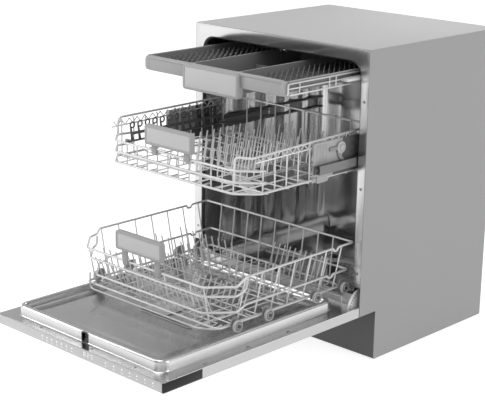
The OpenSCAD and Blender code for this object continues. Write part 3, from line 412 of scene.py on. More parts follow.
def cabinet_panels():
    bm = bmesh.new()
    # The top sheet takes the paler copy of the side paint: painted light on the top.
    block(bm, *limits("top_panel"), 1.4, 3)
    finish(bm, "cabinet_top_sheet", TOP_SHEET_WITH_PAINTED_LIGHT, "cabinet", ["top_panel"])
    notch_y, notch_z, ease = 131, 136, 2.5
    for side, node in ((-1, "side_panel_left"), (1, "side_panel_right")):
        low, high = limits(node)
        outline = [(low.y, notch_z), (notch_y - ease, notch_z), (notch_y, notch_z - ease), (notch_y, low.z),
                   (high.y, low.z), (high.y, high.z), (low.y, high.z)]
        bm = bmesh.new()
        prism(bm, outline, "X", *span_x(side, 297.4, 299))
        finish(bm, node + "_sheet", SIDE_SHEET, "cabinet", [node], bevel=0.4)
    rear, screws = bmesh.new(), bmesh.new()
    low, high = limits("rear_panel")
    sheet_y, pad_y, pad_half = high.y - 1.2, high.y - 0.1, 62
    block(rear, low, (high.x, sheet_y, high.z), 0.5)
    for x in (-180, 0, 180):
        loft(rear, inset_rings((x - pad_half, 320), (x + pad_half, 760), 24, "Y", 6, 2,
                               ((0, sheet_y), (1, sheet_y + 0.3), (4, pad_y))), cap=(False, True))
    finish(rear, "rear_sheet", REAR_SHEET, "cabinet", ["rear_panel"])
    for x in (-285, -95, 95, 285):
        for z in (low.z + 12, high.z - 12):
            lathe(screws, [(3.6, 0), (3.4, 0.7), (2.4, 1.05), (1.0, 1.05), (0.9, 0.6), (0, 0.6)],
                  (x, sheet_y, z), "Y", 16)
    finish(screws, "rear_screws", SPRING_STEEL, "cabinet")


def plinth_and_base():
    bm = bmesh.new()
    block(bm, *limits("plinth"), 1.2)
    finish(bm, "plinth_board", PLINTH_PAINT, "cabinet", ["plinth"])
    dress("base_tray", DARK_PLASTIC)
    feet = bmesh.new()
    for x in (-250, 250):
        for y in (179, 568.5):
            lathe(feet, [(0, 0.05), (20, 0.05), (22, 1.6), (22, 3.2), (18, 5.2), (11, 6.2), (11, 8.0), (5, 8.1),
                         (5, 39.8), (0, 40)], (x, y, 0))
            for z in range(12, 38, 3):
                lathe(feet, [(5.0, z - 0.9), (5.7, z), (5.0, z + 0.9)], (x, y, 0), "Z", 20)
    finish(feet, "levelling_feet_turned", DARK_PLASTIC, "cabinet", ["levelling_feet"])


# ---- Tub and front frame ----


def arch_path(half, top, corner, low, steps=8):
    """Open path up one side, over the top and down the other, with a fixed number of points."""
    middle = (low + top - corner) / 2
    turns = [on_circle(x, top - corner, corner, start - 90 * s / steps)
             for x, start in ((-half + corner, 180), (half - corner, 90)) for s in range(steps + 1)]
    return [(-half, low), (-half, middle), *turns, (half, middle), (half, low)]


def arch_loft(bm, rings):
    """Skins arches given as (half width, top, corner radius, low end, y)."""
    loft(bm, [lift(arch_path(*ring[:4]), "Y", ring[4]) for ring in rings], open_rings=True)


def front_frame():
    """Flat flange round the opening, with its inner edge rolled inwards."""
    front, back, half, top, corner, low = 65.0, 66.6, 274, 788, 38, 212
    outer_half, outer_top, arc_z = 297.4, 818.4, top - corner
    inner = arch_path(half, top, corner, low)
    outer = []
    for x, z in inner:
        arc_x = math.copysign(half - corner, x)
        a = math.atan2(z - arc_z, abs(x) - abs(arc_x))
        if z < arc_z + 0.01 and abs(x) > half - 0.01:
            outer.append((math.copysign(outer_half, x), z))
        elif abs(a - math.pi / 4) < 0.01:
            outer.append((math.copysign(outer_half, x), outer_top))
        else:
            reach = min((outer_half - abs(arc_x)) / max(math.cos(a), 1e-6),
                        (outer_top - arc_z) / max(math.sin(a), 1e-6))
            outer.append((arc_x + math.copysign(reach * math.cos(a), x), arc_z + reach * math.sin(a)))
    rolled = [(x * (half + 2.2) / half, z + (1.8 if z > top - 1 else 0.6)) for x, z in inner]
    bm = bmesh.new()
    loft(bm, [lift(path, "Y", y) for path, y in ((outer, back), (outer, front), (rolled, front), (inner, front + 1.2),
                                                 (inner, front + 7), (rolled, front + 7))], open_rings=True)
    finish(bm, "front_frame_sheet", FRAME_STEEL, "cabinet", ["front_frame"])
    screws = bmesh.new()
    for x in (-286, 286):
        for z in (250, 470, 690):
            lathe(screws, [(4.0, 0), (3.8, 0.6), (2.6, 1.1), (1.0, 1.1), (0.9, 0.6), (0, 0.6)],
                  (x, front, z), "Y", 16, -1)
    finish(screws, "frame_screws", SPRING_STEEL, "cabinet")


def tub_shell():
    """Wrapper and back in one pressing: walls with shallow upright ribs and round corners."""
    half, top, corner, low, front, back = 276, 790, 40, 133, 66.6, 573
    rib_half, rib_depth, rib_slope = 16, 3.2, 5
    rings = [(half, top, corner, low, y) for y in (front, front + 6)]
    for rib in (150, 235, 320, 405, 490):
        for offset, shrink in ((-rib_half - rib_slope, 0), (-rib_half, rib_depth), (rib_half, rib_depth),
                               (rib_half + rib_slope, 0)):
            rings.append((half - shrink, top, corner, low, rib + offset))
    rings += [(half - i, top - i, corner, low, back - y) for i, y in ((0, 34), (3, 16), (12, 5), (26, 0))]
    bm = bmesh.new()
    arch_loft(bm, rings)
    arch_loft(bm, [(half - i, top - i, corner, low, y) for i, y in ((26, back), (70, back), (78, back - 5))])
    bm.faces.new([bm.verts.new(p) for p in lift(arch_path(half - 78, top - 78, corner, low), "Y", back - 5)])
    finish(bm, "tub_pressing", TUB_STEEL, "cabinet", ["tub_wrapper", "tub_back"], smooth=50)


def tub_floor():
    """Deep-drawn floor with a wheel track on each side, a sill, and the sunk filter well."""
    inner, track, low = 276, 238, 133
    levels = [(-inner, 190.2), (-track - 6, 190.2), (-track, 188), (-track + 5, 172), (-track + 9, 145),
              (-track + 20, 136), (-120, 133.4), (120, 133.4), (track - 20, 136), (track - 9, 145),
              (track - 5, 172), (track, 188), (track + 6, 190.2), (inner, 190.2)]
    bm = bmesh.new()
    rings = []
    for y, rise in ((108, 14), (118, 5), (132, 1), (300, 0), (470, 0.5), (540, 3), (560, 10), (571, 26)):
        rings.append([Vector((x, y, max(z, low + rise) if abs(x) < track - 15 else z)) for x, z in levels])
    loft(bm, rings, open_rings=True)
    for side in SIDES:
        side_block(bm, side, (track, 66.8, 186), (inner, 110, 190.1), 0.6)
    finish(bm, "tub_floor_pressing", BASE_STEEL, "cabinet", ["tub_base"], smooth=55)
    sill = bmesh.new()
    profile = [(66.8, 131), (66.8, 173), (68.2, 177), (71, 178.2), (80, 178), (86, 175), (104, 156), (109, 149),
               (110, 133)]
    loft(sill, [[Vector((x, y, z)) for y, z in profile] for x in (-track + 1, track - 1)], open_rings=True)
    for side in SIDES:
        side_block(sill, side, (track, 66.7, 131), (inner, 68.2, 190.2), 0.5)
    finish(sill, "tub_sill", SILL_STEEL, "cabinet")
    well = bmesh.new()
    lathe(well, [(54, 134.2), (50, 134.6), (46, 134.4), (44, 133.2), (43.4, 128), (43.4, 112)], (90, 258, 0))
    finish(well, "filter_well_rim", BASE_STEEL, "cabinet")


def seal():
    low, outer, inner, bulge = 212, (275.8, 789.6, 40), (272.4, 786, 38), (270.4, 784.2, 37)
    bm = bmesh.new()
    arch_loft(bm, [(*arch, low, y) for arch, y in ((outer, 67.2), (inner, 67.2), (bulge, 69.5), (bulge, 72.5),
                                                   (inner, 75), (inner, 77.4), (outer, 77.4))])
    finish(bm, "door_seal", RUBBER, "cabinet", ["door_gasket"])


def striker():
    bm = bmesh.new()
    block(bm, (-28, 80.5, 787), (28, 126.5, 789.9), 0.8)
    for side in SIDES:
        side_block(bm, side, (8, 84.5, 775), (11, 110.5, 788), 0.8)
    tube(bm, [(-9, 90.5, 779), (9, 90.5, 779)], 2.4, sides=14)
    for x in (-20, 20):
        lathe(bm, [(0, 785.2), (2.4, 785.2), (4.2, 786.6), (4.2, 787.2)], (x, 103, 0), "Z", 16)
    finish(bm, "latch_striker_bracket", ZINC_STEEL, "cabinet", ["latch_striker"])


def rails():
    """Channels on the tub walls: the telescopic runner's and the cutlery tray's."""
    runner = [(276, 522), (276, 556), (266.4, 556), (266.0, 555), (266.0, 551.6), (267, 551), (274, 551),
              (274, 527), (267, 527), (266.0, 526.4), (266.0, 523), (266.4, 522)]
    guide = [(275.1, 735), (275.1, 757), (253, 757), (252, 756), (252, 751.6), (253, 751), (271.8, 751),
             (271.8, 741), (253, 741), (252, 740.4), (252, 736), (253, 735)]
    runners, guides = bmesh.new(), bmesh.new()
    for side in SIDES:
        prism(runners, [(side * x, z) for x, z in runner], "Y", 85, 565)
        prism(guides, [(side * x, z) for x, z in guide], "Y", 90, 560)
        side_block(guides, side, (251.9, 88.4, 733.6), (275, 96, 741), 1.2)
        side_block(guides, side, (251.9, 88.4, 751), (275, 96, 758.2), 1.2)
        for y in (150, 330, 510):
            side_block(guides, side, (253, y, 757), (275.2, y + 26, 759.5), 1.0)
    finish(runners, "runner_channels", RAIL_STEEL, "cabinet", ["wall_rails"], bevel=0.3)
    finish(guides, "tray_guides", DARK_PLASTIC, "cabinet", bevel=0.3)


def feed():
    """Riser tube with its dock and ceiling branch, and a pale stub beside it."""
    bm = bmesh.new()
    y = 561
    tube(bm, ring_path([(0, y, 133.5), (0, y, 783), (0, 318, 783), (0, 318, 776.4)], 14, steps=6), 6.2, sides=20)
    lathe(bm, [(11, 133.6), (11, 300), (12.2, 301), (12.2, 309), (11, 310), (11, 560), (12.2, 561), (12.2, 569),
               (11, 570), (11, 760), (8, 774), (6.4, 780)], (0, y, 0), "Z", 28)
    lathe(bm, [(8, 0), (8, 14), (9.6, 15), (9.6, 20), (8.6, 23.6), (6.4, 23.8), (5.6, 20)],
          (0, y, 496.5), "Y", 28, -1)
    lathe(bm, [(5, 0), (5, -15), (8, -15.6), (8, -16.8), (0, -17)], (0, 318, 783), "Z", 24)
    for z in (240, 420, 640):
        block(bm, (-17, y + 2, z), (17, 572.6, z + 14), 2)
    finish(bm, "feed_tube_moulding", MID_PLASTIC, "cabinet", ["feed_tube"])
    hose = bmesh.new()
    tube(hose, ring_path([(96, 560, 552), (96, 560, 630), (60, 560, 660)], 34, steps=8), 6.5, sides=18)
    for z in range(558, 612, 5):
        tube(hose, [(96, 560, z), (96, 560, z + 1.4)], 7.6, sides=18)
    finish(hose, "vent_hose", BLACK_CAP, "cabinet")
    stub = bmesh.new()
    lathe(stub, [(0, 0), (10.5, 0), (11, 1), (11, 14), (9, 16), (9, 21)], (60, 551, 660), "Y", 24)
    finish(stub, "vent_stub", PALE_PLASTIC, "cabinet")


def water_system():
    """Gives the CAD pieces of the water system and the hinges their finishes."""
    for material, nodes in ((DARK_PLASTIC, ("sump", "door_latch")),
                            (PUMP_PLASTIC, ("circulation_pump", "drain_pump")),
                            (WATER_PLASTIC, ("salt_container",)), (SPRING_STEEL, ("door_springs",)),
                            (PALE_PLASTIC, ("inlet_valve", "pump_impeller", "upper_arm_manifold")),
                            (MID_PLASTIC, ("drain_connector", "control_module")), (BLACK_CAP, ("mains_inlet",)),
                            (ZINC_STEEL, ("hinge_arms",)), (RAIL_STEEL, ("middle_rails",))):
        for node in nodes:
            dress(node, material)


# ---- Door ----


def door_shell():
    dress("door_outer_panel", DOOR_SHEET)
    caps = bmesh.new()
    for side in SIDES:
        side_block(caps, side, (296.1, -615, 137.2), (299, -493.2, 160.7), 0.7)
    finish(caps, "door_corner_caps", BLACK_CAP, "cabinet", ["door_side_caps"])


MOUTH_HALF = 9


def liner_ring(inset, z, steps=7):
    """One level of the pan, with two points on the front side for the edges of the latch's mouth."""
    low, high, corner = (-262, -585), (262, 5), 26
    points = round_rect((low[0] + inset, low[1] + inset), (high[0] - inset, high[1] - inset),
                        max(corner - inset, 8), steps)
    front = 3 * (steps + 1)
    points[front:front] = [(-MOUTH_HALF, low[1] + inset), (MOUTH_HALF, low[1] + inset)]
    return lift(points, "Z", z)


def liner():
    """Deep-drawn inner door: raised rolled rim, sloping inner wall and an embossed floor."""
    bm = bmesh.new()
    loft(bm, [liner_ring(inset, z) for inset, z in (
        (-4, 162.05), (-1.6, 162.6), (0, 165), (0.4, 184), (2.2, 188.4), (5.2, 190), (9.8, 190), (12.8, 188.2),
        (14.4, 183), (17, 175.6), (22, 173.2), (44, 172.6), (50, 174.6), (56, 175.4))])
    middles = [(face, face.calc_center_median()) for face in bm.faces]
    bmesh.ops.delete(bm, geom=[face for face, middle in middles if abs(middle.x) < MOUTH_HALF - 1
                               and middle.y < -580 and 163 < middle.z < 187], context="FACES")
    bm.faces.new([bm.verts.new(p) for p in liner_ring(56, 175.4)])
    half, line_y = 196, -468
    loft(bm, [[Vector((x, line_y + dy, z)) for x in (-half, half)]
              for dy, z in ((-3, 175.45), (-1.8, 176.15), (1.8, 176.15), (3, 175.45))], open_rings=True)
    tube(bm, ring_path([(-half, -150, 175.2), (-half, -300, 175.2), (-120, line_y, 175.2)], 60, steps=6), 1.6)
    finish(bm, "liner_pressing", LINER_STEEL, "cabinet", ["door_liner"], smooth=60)
    deck = bmesh.new()
    ring_in, ring_out, reach_x, middle_y = liner_ring(-3, 162), [], 298.9, -290
    for p in ring_in:
        dy = p.y - middle_y
        t = min(reach_x / max(abs(p.x), 1e-6), (352 if dy > 0 else 322.5) / max(abs(dy), 1e-6))
        ring_out.append(Vector((p.x * t, dy * t + middle_y, 162)))
    loft(deck, [ring_in, ring_out, [p + Vector((0, 0, -1.2)) for p in ring_out]])
    finish(deck, "liner_deck", LINER_STEEL, "cabinet", smooth=30)
    corners = bmesh.new()
    for side in SIDES:
        for y_low, y_high in ((-612.5, -585.5), (48, 62)):
            side_block(corners, side, (262, y_low, 160.9), (reach_x, y_high, 161.96), 0.3)
    finish(corners, "liner_deck_corners", LINER_STEEL, "cabinet")
    screws = bmesh.new()
    for x in (-284, 284):
        for y in (-470, -330, -190, -50):
            lathe(screws, [(4.4, 162.0), (4.2, 163.4), (2.6, 164.2), (1.0, 163.4), (0, 163.2)], (x, y, 0), "Z", 16)
    for x in (-150, 40, 190):
        lathe(screws, [(3.4, 162.0), (3.2, 163.0), (1.0, 163.4), (0, 163.0)], (x, -597, 0), "Z", 16)
    finish(screws, "liner_screws", SPRING_STEEL, "cabinet")


def strip():
    """Control strip along the door's top edge, with its keys, lamps and a small display."""
    bm = bmesh.new()
    block(bm, (-296, -614.9, 137.2), (296, -560.1, 161.2), 0.8)
    finish(bm, "strip_housing", STRIP_FACE, "cabinet", ["control_strip"])
    face = -614.95
    marks = bmesh.new()
    keys = [-123, -105, -87, -68, -50, -32, -13, 108, 136, 164, 190, 214, 241, 267]
    for x in keys:
        lathe(marks, [(2.1, 0.0), (2.1, -0.04), (0, -0.05)], (x, face + 0.05, 152.5), "Y", 14)
        block(marks, (x - 3.0, face, 144.0), (x + 3.0, face + 0.3, 145.2))
    low, high, wide, line = 147.2, 156.6, 6.4, 0.8
    middle = (low + high) / 2
    segments = {"a": (0, high, wide, high), "g": (0, middle, wide, middle), "d": (0, low, wide, low),
                "b": (wide, middle, wide, high), "c": (wide, low, wide, middle), "f": (0, middle, 0, high),
                "e": (0, low, 0, middle)}
    for left, lit in ((30, "abcdefg"), (43, "abdeg"), (56, "acdfg")):
        for x0, z0, x1, z1 in (segments[key] for key in lit):
            block(marks, (left + x0 - line, face, z0 - line), (left + x1 + line, face + 0.3, z1 + line))
    finish(marks, "strip_marks", MARK_WHITE, "cabinet")
    latch_plate = bmesh.new()
    for side in SIDES:
        side_block(latch_plate, side, (MOUTH_HALF, -586.4, 163.4), (MOUTH_HALF + 2.5, -585.2, 189), 0.5)
    block(latch_plate, (-MOUTH_HALF, -586.4, 186.6), (MOUTH_HALF, -585.2, 189), 0.5)
    finish(latch_plate, "latch_mouth", DARK_PLASTIC, "cabinet")


def dispenser():
    bm = bmesh.new()
    loft(bm, inset_rings((-55, -370), (130, -240), 12, "Z", 5, 3, (
        (0, 172.8), (0.4, 175.4), (1.8, 176.8), (5, 177), (9, 175), (12, 174.6))))
    for y0, y1 in ((-367, -358), (-252, -243)):
        block(bm, (-47, y0, 174), (126, y1, 181), 1.4)
    finish(bm, "dispenser_housing", PALE_PLASTIC, "cabinet")
    dress("dispenser_body", PALE_PLASTIC)
    lid = bmesh.new()
    block(lid, (-45, -360.2, 177.1), (31, -249.8, 179.2), 0.9)
    for y in (-330, -318, -292, -280):
        block(lid, (-38, y, 178.5), (-8, y + 5, 180.0), 0.7)
    tube(lid, [(-37, -305, 179.4), (-33, -305, 179.4)], 2.6, sides=12)
    finish(lid, "detergent_lid_moulding", PALE_PLASTIC, "detergent_lid", ["dispenser_lid"])
    cap = bmesh.new()
    lathe(cap, [(13.6, 164.4), (13.6, 174.6), (16.8, 174.7), (16.8, 175.8), (15.6, 176.2), (5, 176.0), (0, 175.5)],
          (96, -305, 0), "Z", 36)
    for k in range(3):
        lathe(cap, [(2.2, 175.8), (2.0, 176.5), (0, 176.6)], (*on_circle(96, -305, 10, 120 * k), 0), "Z", 12)
    finish(cap, "rinse_aid_cap_moulding", CAP_PLASTIC, "rinse_cap", ["rinse_aid_cap"])


def hinge_guards():
    """Quarter-round plates just outside the door's hinge line, perforated on the real guard; each hole here is a flat
    dark disc on both faces, painted shade where the hole looks dark.
    """
    bm, dots = bmesh.new(), bmesh.new()
    y, z, radius = 88, 152, 57
    for side in SIDES:
        prism(bm, [(y, z)] + [on_circle(y, z, radius, a) for a in range(90, 181, 5)], "X",
              *span_x(side, 282.6, 286.3))
        # Flat dark discs on both faces of each plate: painted shade where the holes would be.
        for a in range(96, 178, 9):
            for x in (282.55, 286.35):
                lathe(dots, [(2.0, 0), (0, 0.02)], (side * x, *on_circle(y, z, radius - 9, a)), "X", 12)
    finish(bm, "hinge_guard_plates", GUARD_STEEL, "cabinet", bevel=0.5)
    finish(dots, "hinge_guard_hole_shade", DARK_PLASTIC, "cabinet")


# ---- Lower rack ----

RIM_R, WIRE_R = 2.9, 1.9
LOW_FRONT, LOW_BACK, LOW_FLOOR, LOW_LIP, LOW_RIM = -403, 75, 206, 307, 326
LOW_ROW_Z = 204.9


def low_side(z):
    return 236 + 26 * (z - LOW_FLOOR) / (LOW_RIM - LOW_FLOOR)


def low_face(z):
    return LOW_FRONT + 22 * (LOW_LIP - z) / (LOW_LIP - LOW_FLOOR)


def low_hoop(bm, z_front, z_back, cut, dip):
    """A hoop round the lower rack, with a small dip in each side where the next rack hooks in."""
    f, s = low_face(z_front), low_side(z_back)
    hook = [(-4, 0), (0, -dip), (12, -dip), (16, 0)]
    wire(bm, [(-s + cut, f, z_front), (s - cut, f, z_front), (s, f + cut, z_front + 2), (s, f + cut + 34, z_back)]
         + [(s, y, z_back + dz) for y, dz in hook]
         + [(s, LOW_BACK - 4, z_back), (s - 4, LOW_BACK, z_back), (-s + 4, LOW_BACK, z_back),
            (-s, LOW_BACK - 4, z_back)]
         + [(-s, y, z_back + dz) for y, dz in reversed(hook)]
         + [(-s, f + cut + 30, z_back), (-s, f + cut + 24, z_front + 7), (-s, f + cut, z_front + 3)],
         14, RIM_R, closed=True, sides=10)


def wire(bm, points, bend=9, radius=WIRE_R, closed=False, steps=4, sides=7):
    """A rack wire, bent at its corners."""
    tube(bm, ring_path(points, bend, closed, steps), radius, closed, sides)


def tine_row(bm, first, step, count, lean, radius=WIRE_R):
    """Tines at even steps: each leaves its row upright, bends, and ends in a round tip."""
    for i in range(count):
        foot = Vector(first) + i * Vector(step)
        wire(bm, [foot, foot + Vector((0, 0, 0.14 * lean[2])), foot + Vector(lean)], 30, radius, steps=2)


def lower_basket():
    hoops = bmesh.new()
    low_hoop(hoops, LOW_LIP, LOW_RIM, 56, 8)
    low_hoop(hoops, 236, 250, 56, 7)
    s, f = low_side(289), low_face(281)
    wire(hoops, [(-s - 4, f + 70, 309), (-s, f + 66, 290), (-s, f + 54, 283), (-s + 54, f, 281), (s - 56, f, 281),
                 (s, f + 56, 282), (s, f + 88, 289), (s, f + 96, 318)], 16, RIM_R, sides=10)
    wire(hoops, [(-236, -381, LOW_FLOOR), (236, -381, LOW_FLOOR), (236, 63, LOW_FLOOR), (-236, 63, LOW_FLOOR)],
         16, RIM_R, closed=True, sides=10)
    skid_z, skid_y = 194.6, -389
    wire(hoops, [(-214, skid_y, 236), (-214, skid_y, skid_z), (168, skid_y, skid_z), (206, skid_y + 20, skid_z),
                 (222, skid_y + 34, 206)], 14, 2.2, sides=9)
    finish(hoops, "lower_basket_hoops", RACK_WIRE, "lower_rack", ["lower_rack_hoops"])

    wires, wire_z = bmesh.new(), 203.4
    for x in (-1, 1):
        top = low_side(LOW_RIM) - 4.4
        for y in range(LOW_FRONT + 90, LOW_BACK, 58):
            wire(wires, [(x * 204, y, wire_z), (x * 231, y, wire_z), (x * top, y, 325)])
    for x in (-204, -140, -35, 70, 158, 204):
        wire(wires, [(x, -356, wire_z), (x, low_face(LOW_FLOOR) + 4.3, wire_z), (x, LOW_FRONT + 4.3, LOW_LIP)])
    for x in range(-200, 201, 50):
        wire(wires, [(x, 40, wire_z), (x, 63 - 4.9, wire_z), (x, LOW_BACK - 4.6, LOW_RIM)])
    for x in range(-198, 223, 42):
        wire(wires, [(x, -379, LOW_ROW_Z - 3.5), (x, 61, LOW_ROW_Z - 3.5)])
    finish(wires, "lower_basket_wires", RACK_WIRE, "lower_rack", ["lower_rack_wires"])

    tines, z = bmesh.new(), LOW_ROW_Z
    for y in (-330, -240, -150, -60):
        wire(tines, [(-233, y, z), (233, y, z)])
        tine_row(tines, (-210, y, z), (24, 0, 0), 9, (-8, -10, 84))
    for y, high in ((-270, 64), (20, 78)):
        wire(tines, [(-233, y, z), (233, y, z)])
        tine_row(tines, (26, y, z), (18, 0, 0), 11, (11, 10, high))
    wire(tines, [(-214, -352, z), (204, -352, z)])
    tine_row(tines, (-204, -352, z), (18, 0, 0), 23, (-3, -24, 70), 1.7)
    finish(tines, "lower_fixed_tines", TINE_WIRE, "lower_rack")

    fold = bmesh.new()
    pivot_z, y = 209.8, -135
    wire(fold, [(18, y, pivot_z), (222, y, pivot_z)], radius=2.0, sides=12)
    tine_row(fold, (30, y, pivot_z), (24, 0, 0), 8, (0, 8, 84))
    finish(fold, "lower_folding_row", TINE_WIRE, "lower_tine_row", ["lower_folding_tines"])


def grip(name, body, node, face_y, z_low, z_high, strap_low):
    """A pull: a pillowed face plate with a rim, hollow behind, hung on two straps."""
    half, back = 82, face_y + 13

    def rings(*levels):
        return inset_rings((-half, z_low), (half, z_high), 7, "Y", 5, 2, levels)

    bm, inset = bmesh.new(), bmesh.new()
    loft(bm, rings((3.2, back), (0, back), (0, face_y + 2.6), (0.8, face_y + 0.9), (2.6, face_y + 0.05),
                   (6.5, face_y + 0.05)))
    loft(bm, rings((3.2, back), (3.4, face_y + 4.2)), cap=(False, True))
    for side in SIDES:
        side_block(bm, side, (48, back - 4, strap_low), (66, back, z_low + 4), 1.2)
        side_block(bm, side, (52, back - 2, strap_low - 2.5), (62, back + 3.0, strap_low + 5), 1.2)
    finish(bm, name + "_shell", GRIP_PLASTIC, body, [node])
    loft(inset, rings((6.5, face_y + 0.05), (7.0, face_y + 1.6), (9.5, face_y + 0.9)), cap=(False, True))
    finish(inset, name + "_face", GRIP_INSET, body)


WHEEL_X, WHEEL_W, WHEEL_R, WHEEL_Z = 251, 8, 15, 205.4


def wheel_set(name, body, node, y):
    tyre, cap = bmesh.new(), bmesh.new()
    for side in SIDES:
        centre = (side * (WHEEL_X - WHEEL_W / 2), y, WHEEL_Z)
        lathe(tyre, [(3.1, 0), (13.4, 0), (WHEEL_R, 1.4), (WHEEL_R, 6.4), (13.8, WHEEL_W), (12.0, WHEEL_W),
                     (11.4, WHEEL_W - 1.8), (7.2, WHEEL_W - 1.8), (6.8, WHEEL_W + 0.2), (5.4, WHEEL_W + 0.2),
                     (5.0, WHEEL_W - 0.4), (3.1, WHEEL_W - 0.4)], centre, "X", 36, side)
        # A thin darker ring laid just above the floor of each wheel's recess: painted shade in the recess.
        recess_x = centre[0] + side * (WHEEL_W - 1.7)
        lathe(cap, [(7.3, 0), (11.3, 0), (11.3, 0.1), (7.3, 0.1), (7.3, 0)], (recess_x, y, WHEEL_Z), "X", 32, side)
    finish(tyre, name + "_tyres", WHEEL_PLASTIC, body, [node])
    finish(cap, name + "_recess_shade", MID_PLASTIC, body)


def carriers():
    """Wheel carriers clipped on the base wire, with their axles and pin heads."""
    bm = bmesh.new()
    pins = bmesh.new()
    for y in (-331, -223, -47, 60):
        for side in SIDES:
            outline = [(y + dy, z) for dy, z in ((-13, 200), (13, 200), (13, 214), (8, 226), (-8, 226), (-13, 214))]
            prism(bm, outline, "X", *span_x(side, 239.5, 242.5))
            lathe(bm, [(9, 0), (8, 2.6), (6, 4.0), (6, 4.3)], (side * 242.4, y, WHEEL_Z), "X", 24, side)
            side_block(bm, side, (233.2, y - 9, 203), (240, y + 9, 209.6), 1.0)
            lathe(pins, [(2.9, 0), (2.9, 12.4), (4.9, 12.6), (4.7, 14.0), (3.2, 14.6), (1.4, 14.2), (0, 14.0)],
                  (side * 243, y, WHEEL_Z), "X", 20, side)
    for x in (48, 192):
        for y_low, y_high, z_low, z_high in ((-139.5, -137.2, 206.7, 213.8), (-132.8, -130.5, 206.7, 213.8),
                                             (-139.5, -130.5, 203.6, 207.6)):
            block(bm, (x - 3, y_low, z_low), (x + 3, y_high, z_high), 0.8)
    finish(bm, "wheel_carrier_mouldings", GREY_PLASTIC, "lower_rack", ["wheel_carriers"],
           bevel=0.4)
    finish(pins, "wheel_pins", DARK_PLASTIC, "lower_rack")


# ---- Upper rack ----

UP_FRONT, UP_BACK, UP_FLOOR, UP_LIP, UP_RIM, UP_HALF = -307, 150, 513, 568, 615, 251
UP_ROW_Z = 512.1
BAND_R = 3.2


def upper_basket():
    cut, s, f = 46, UP_HALF, UP_FRONT
    hoops = bmesh.new()
    wire(hoops, [(206, f + 4, 541), (206, f + 4, 600), (249, f + 14, 602), (s, f + 26, 603), (s, UP_BACK, UP_RIM),
                 (-s, UP_BACK, UP_RIM), (-s, f + 50, 612), (-s, f + 47, 569)], 12, RIM_R, sides=10)
    for z in (UP_LIP, 540):
        wire(hoops, [(-s, f + cut + 50, z - 2), (-s, f + cut, z), (-s + cut, f, z), (s - cut, f, z),
                     (s, f + cut, z - 1), (s, f + cut + 14, z - 2)], 26, BAND_R, steps=6, sides=10)
    wire(hoops, [(-s + cut, f, UP_FLOOR), (s - cut, f, UP_FLOOR), (s, f + cut, UP_FLOOR), (s, UP_BACK, UP_FLOOR),
                 (-s, UP_BACK, UP_FLOOR), (-s, f + cut, UP_FLOOR)], 18, BAND_R, closed=True, sides=10)
    finish(hoops, "upper_basket_hoops", RACK_WIRE, "upper_rack", ["upper_rack_hoops"])

    wires, low, inner = bmesh.new(), 509.4, s - 4.4
    for side in SIDES:
        wire(wires, [(side * s, f + 27, 590), (side * s, UP_BACK - 26, 596), (side * s, UP_BACK - 18, 602),
                     (side * s, UP_BACK - 16, 613)], 6)
        for y in range(f + 57, UP_BACK, 41):
            wire(wires, [(side * 216, y, low), (side * inner, y, low), (side * inner, y, 606), (side * s, y, 607)], 7)
        steps, pitch, swing, climb = 29, 13.5, 14, 8.4
        for i in range(steps):
            y, base = f + 32 + pitch * i, 590 + climb * i / steps
            start, end = (0, swing) if i % 2 else (swing, 0)
            tube(wires, [(side * s, y, base + start), (side * s, y + pitch, base + end)], 1.3, sides=6)
    for x in [(i + 0.5) * 37 for i in range(-5, 5)] + [-203, 203]:
        wire(wires, [(x, f + 40, low), (x, f + 4.4, low), (x, f + 4.4, UP_LIP - 1)], 7)
    for x in range(-182, 183, 52):
        wire(wires, [(x, UP_BACK - 36, low), (x, UP_BACK - 4.4, low), (x, UP_BACK - 4.4, UP_RIM)], 7)
    for y in range(f + 70, UP_BACK, 72):
        wire(wires, [(-s, y, low - 1), (s, y, low - 1)])
    finish(wires, "upper_basket_wires", RACK_WIRE, "upper_rack", ["upper_rack_wires"])

    tines = bmesh.new()
    for x in (-196, -136, -72, 0, 72, 142, 196):
        wire(tines, [(x, f + 4, UP_ROW_Z), (x, UP_BACK - 4, UP_ROW_Z)])
    for x in (-72, 0, 72):
        tine_row(tines, (x, f + 60, UP_ROW_Z), (0, 24, 0), 16, (12, 0, 78))
    finish(tines, "upper_fixed_tines", TINE_WIRE, "upper_rack")

    fold = bmesh.new()
    x, z = 142, 517.0
    wire(fold, [(x, f + 50, z), (x, UP_BACK - 22, z)], radius=2.0, sides=12)
    tine_row(fold, (x, f + 66, z), (0, 24, 0), 15, (12, 0, 78))
    finish(fold, "upper_folding_row", TINE_WIRE, "upper_tine_row", ["upper_folding_tines"])


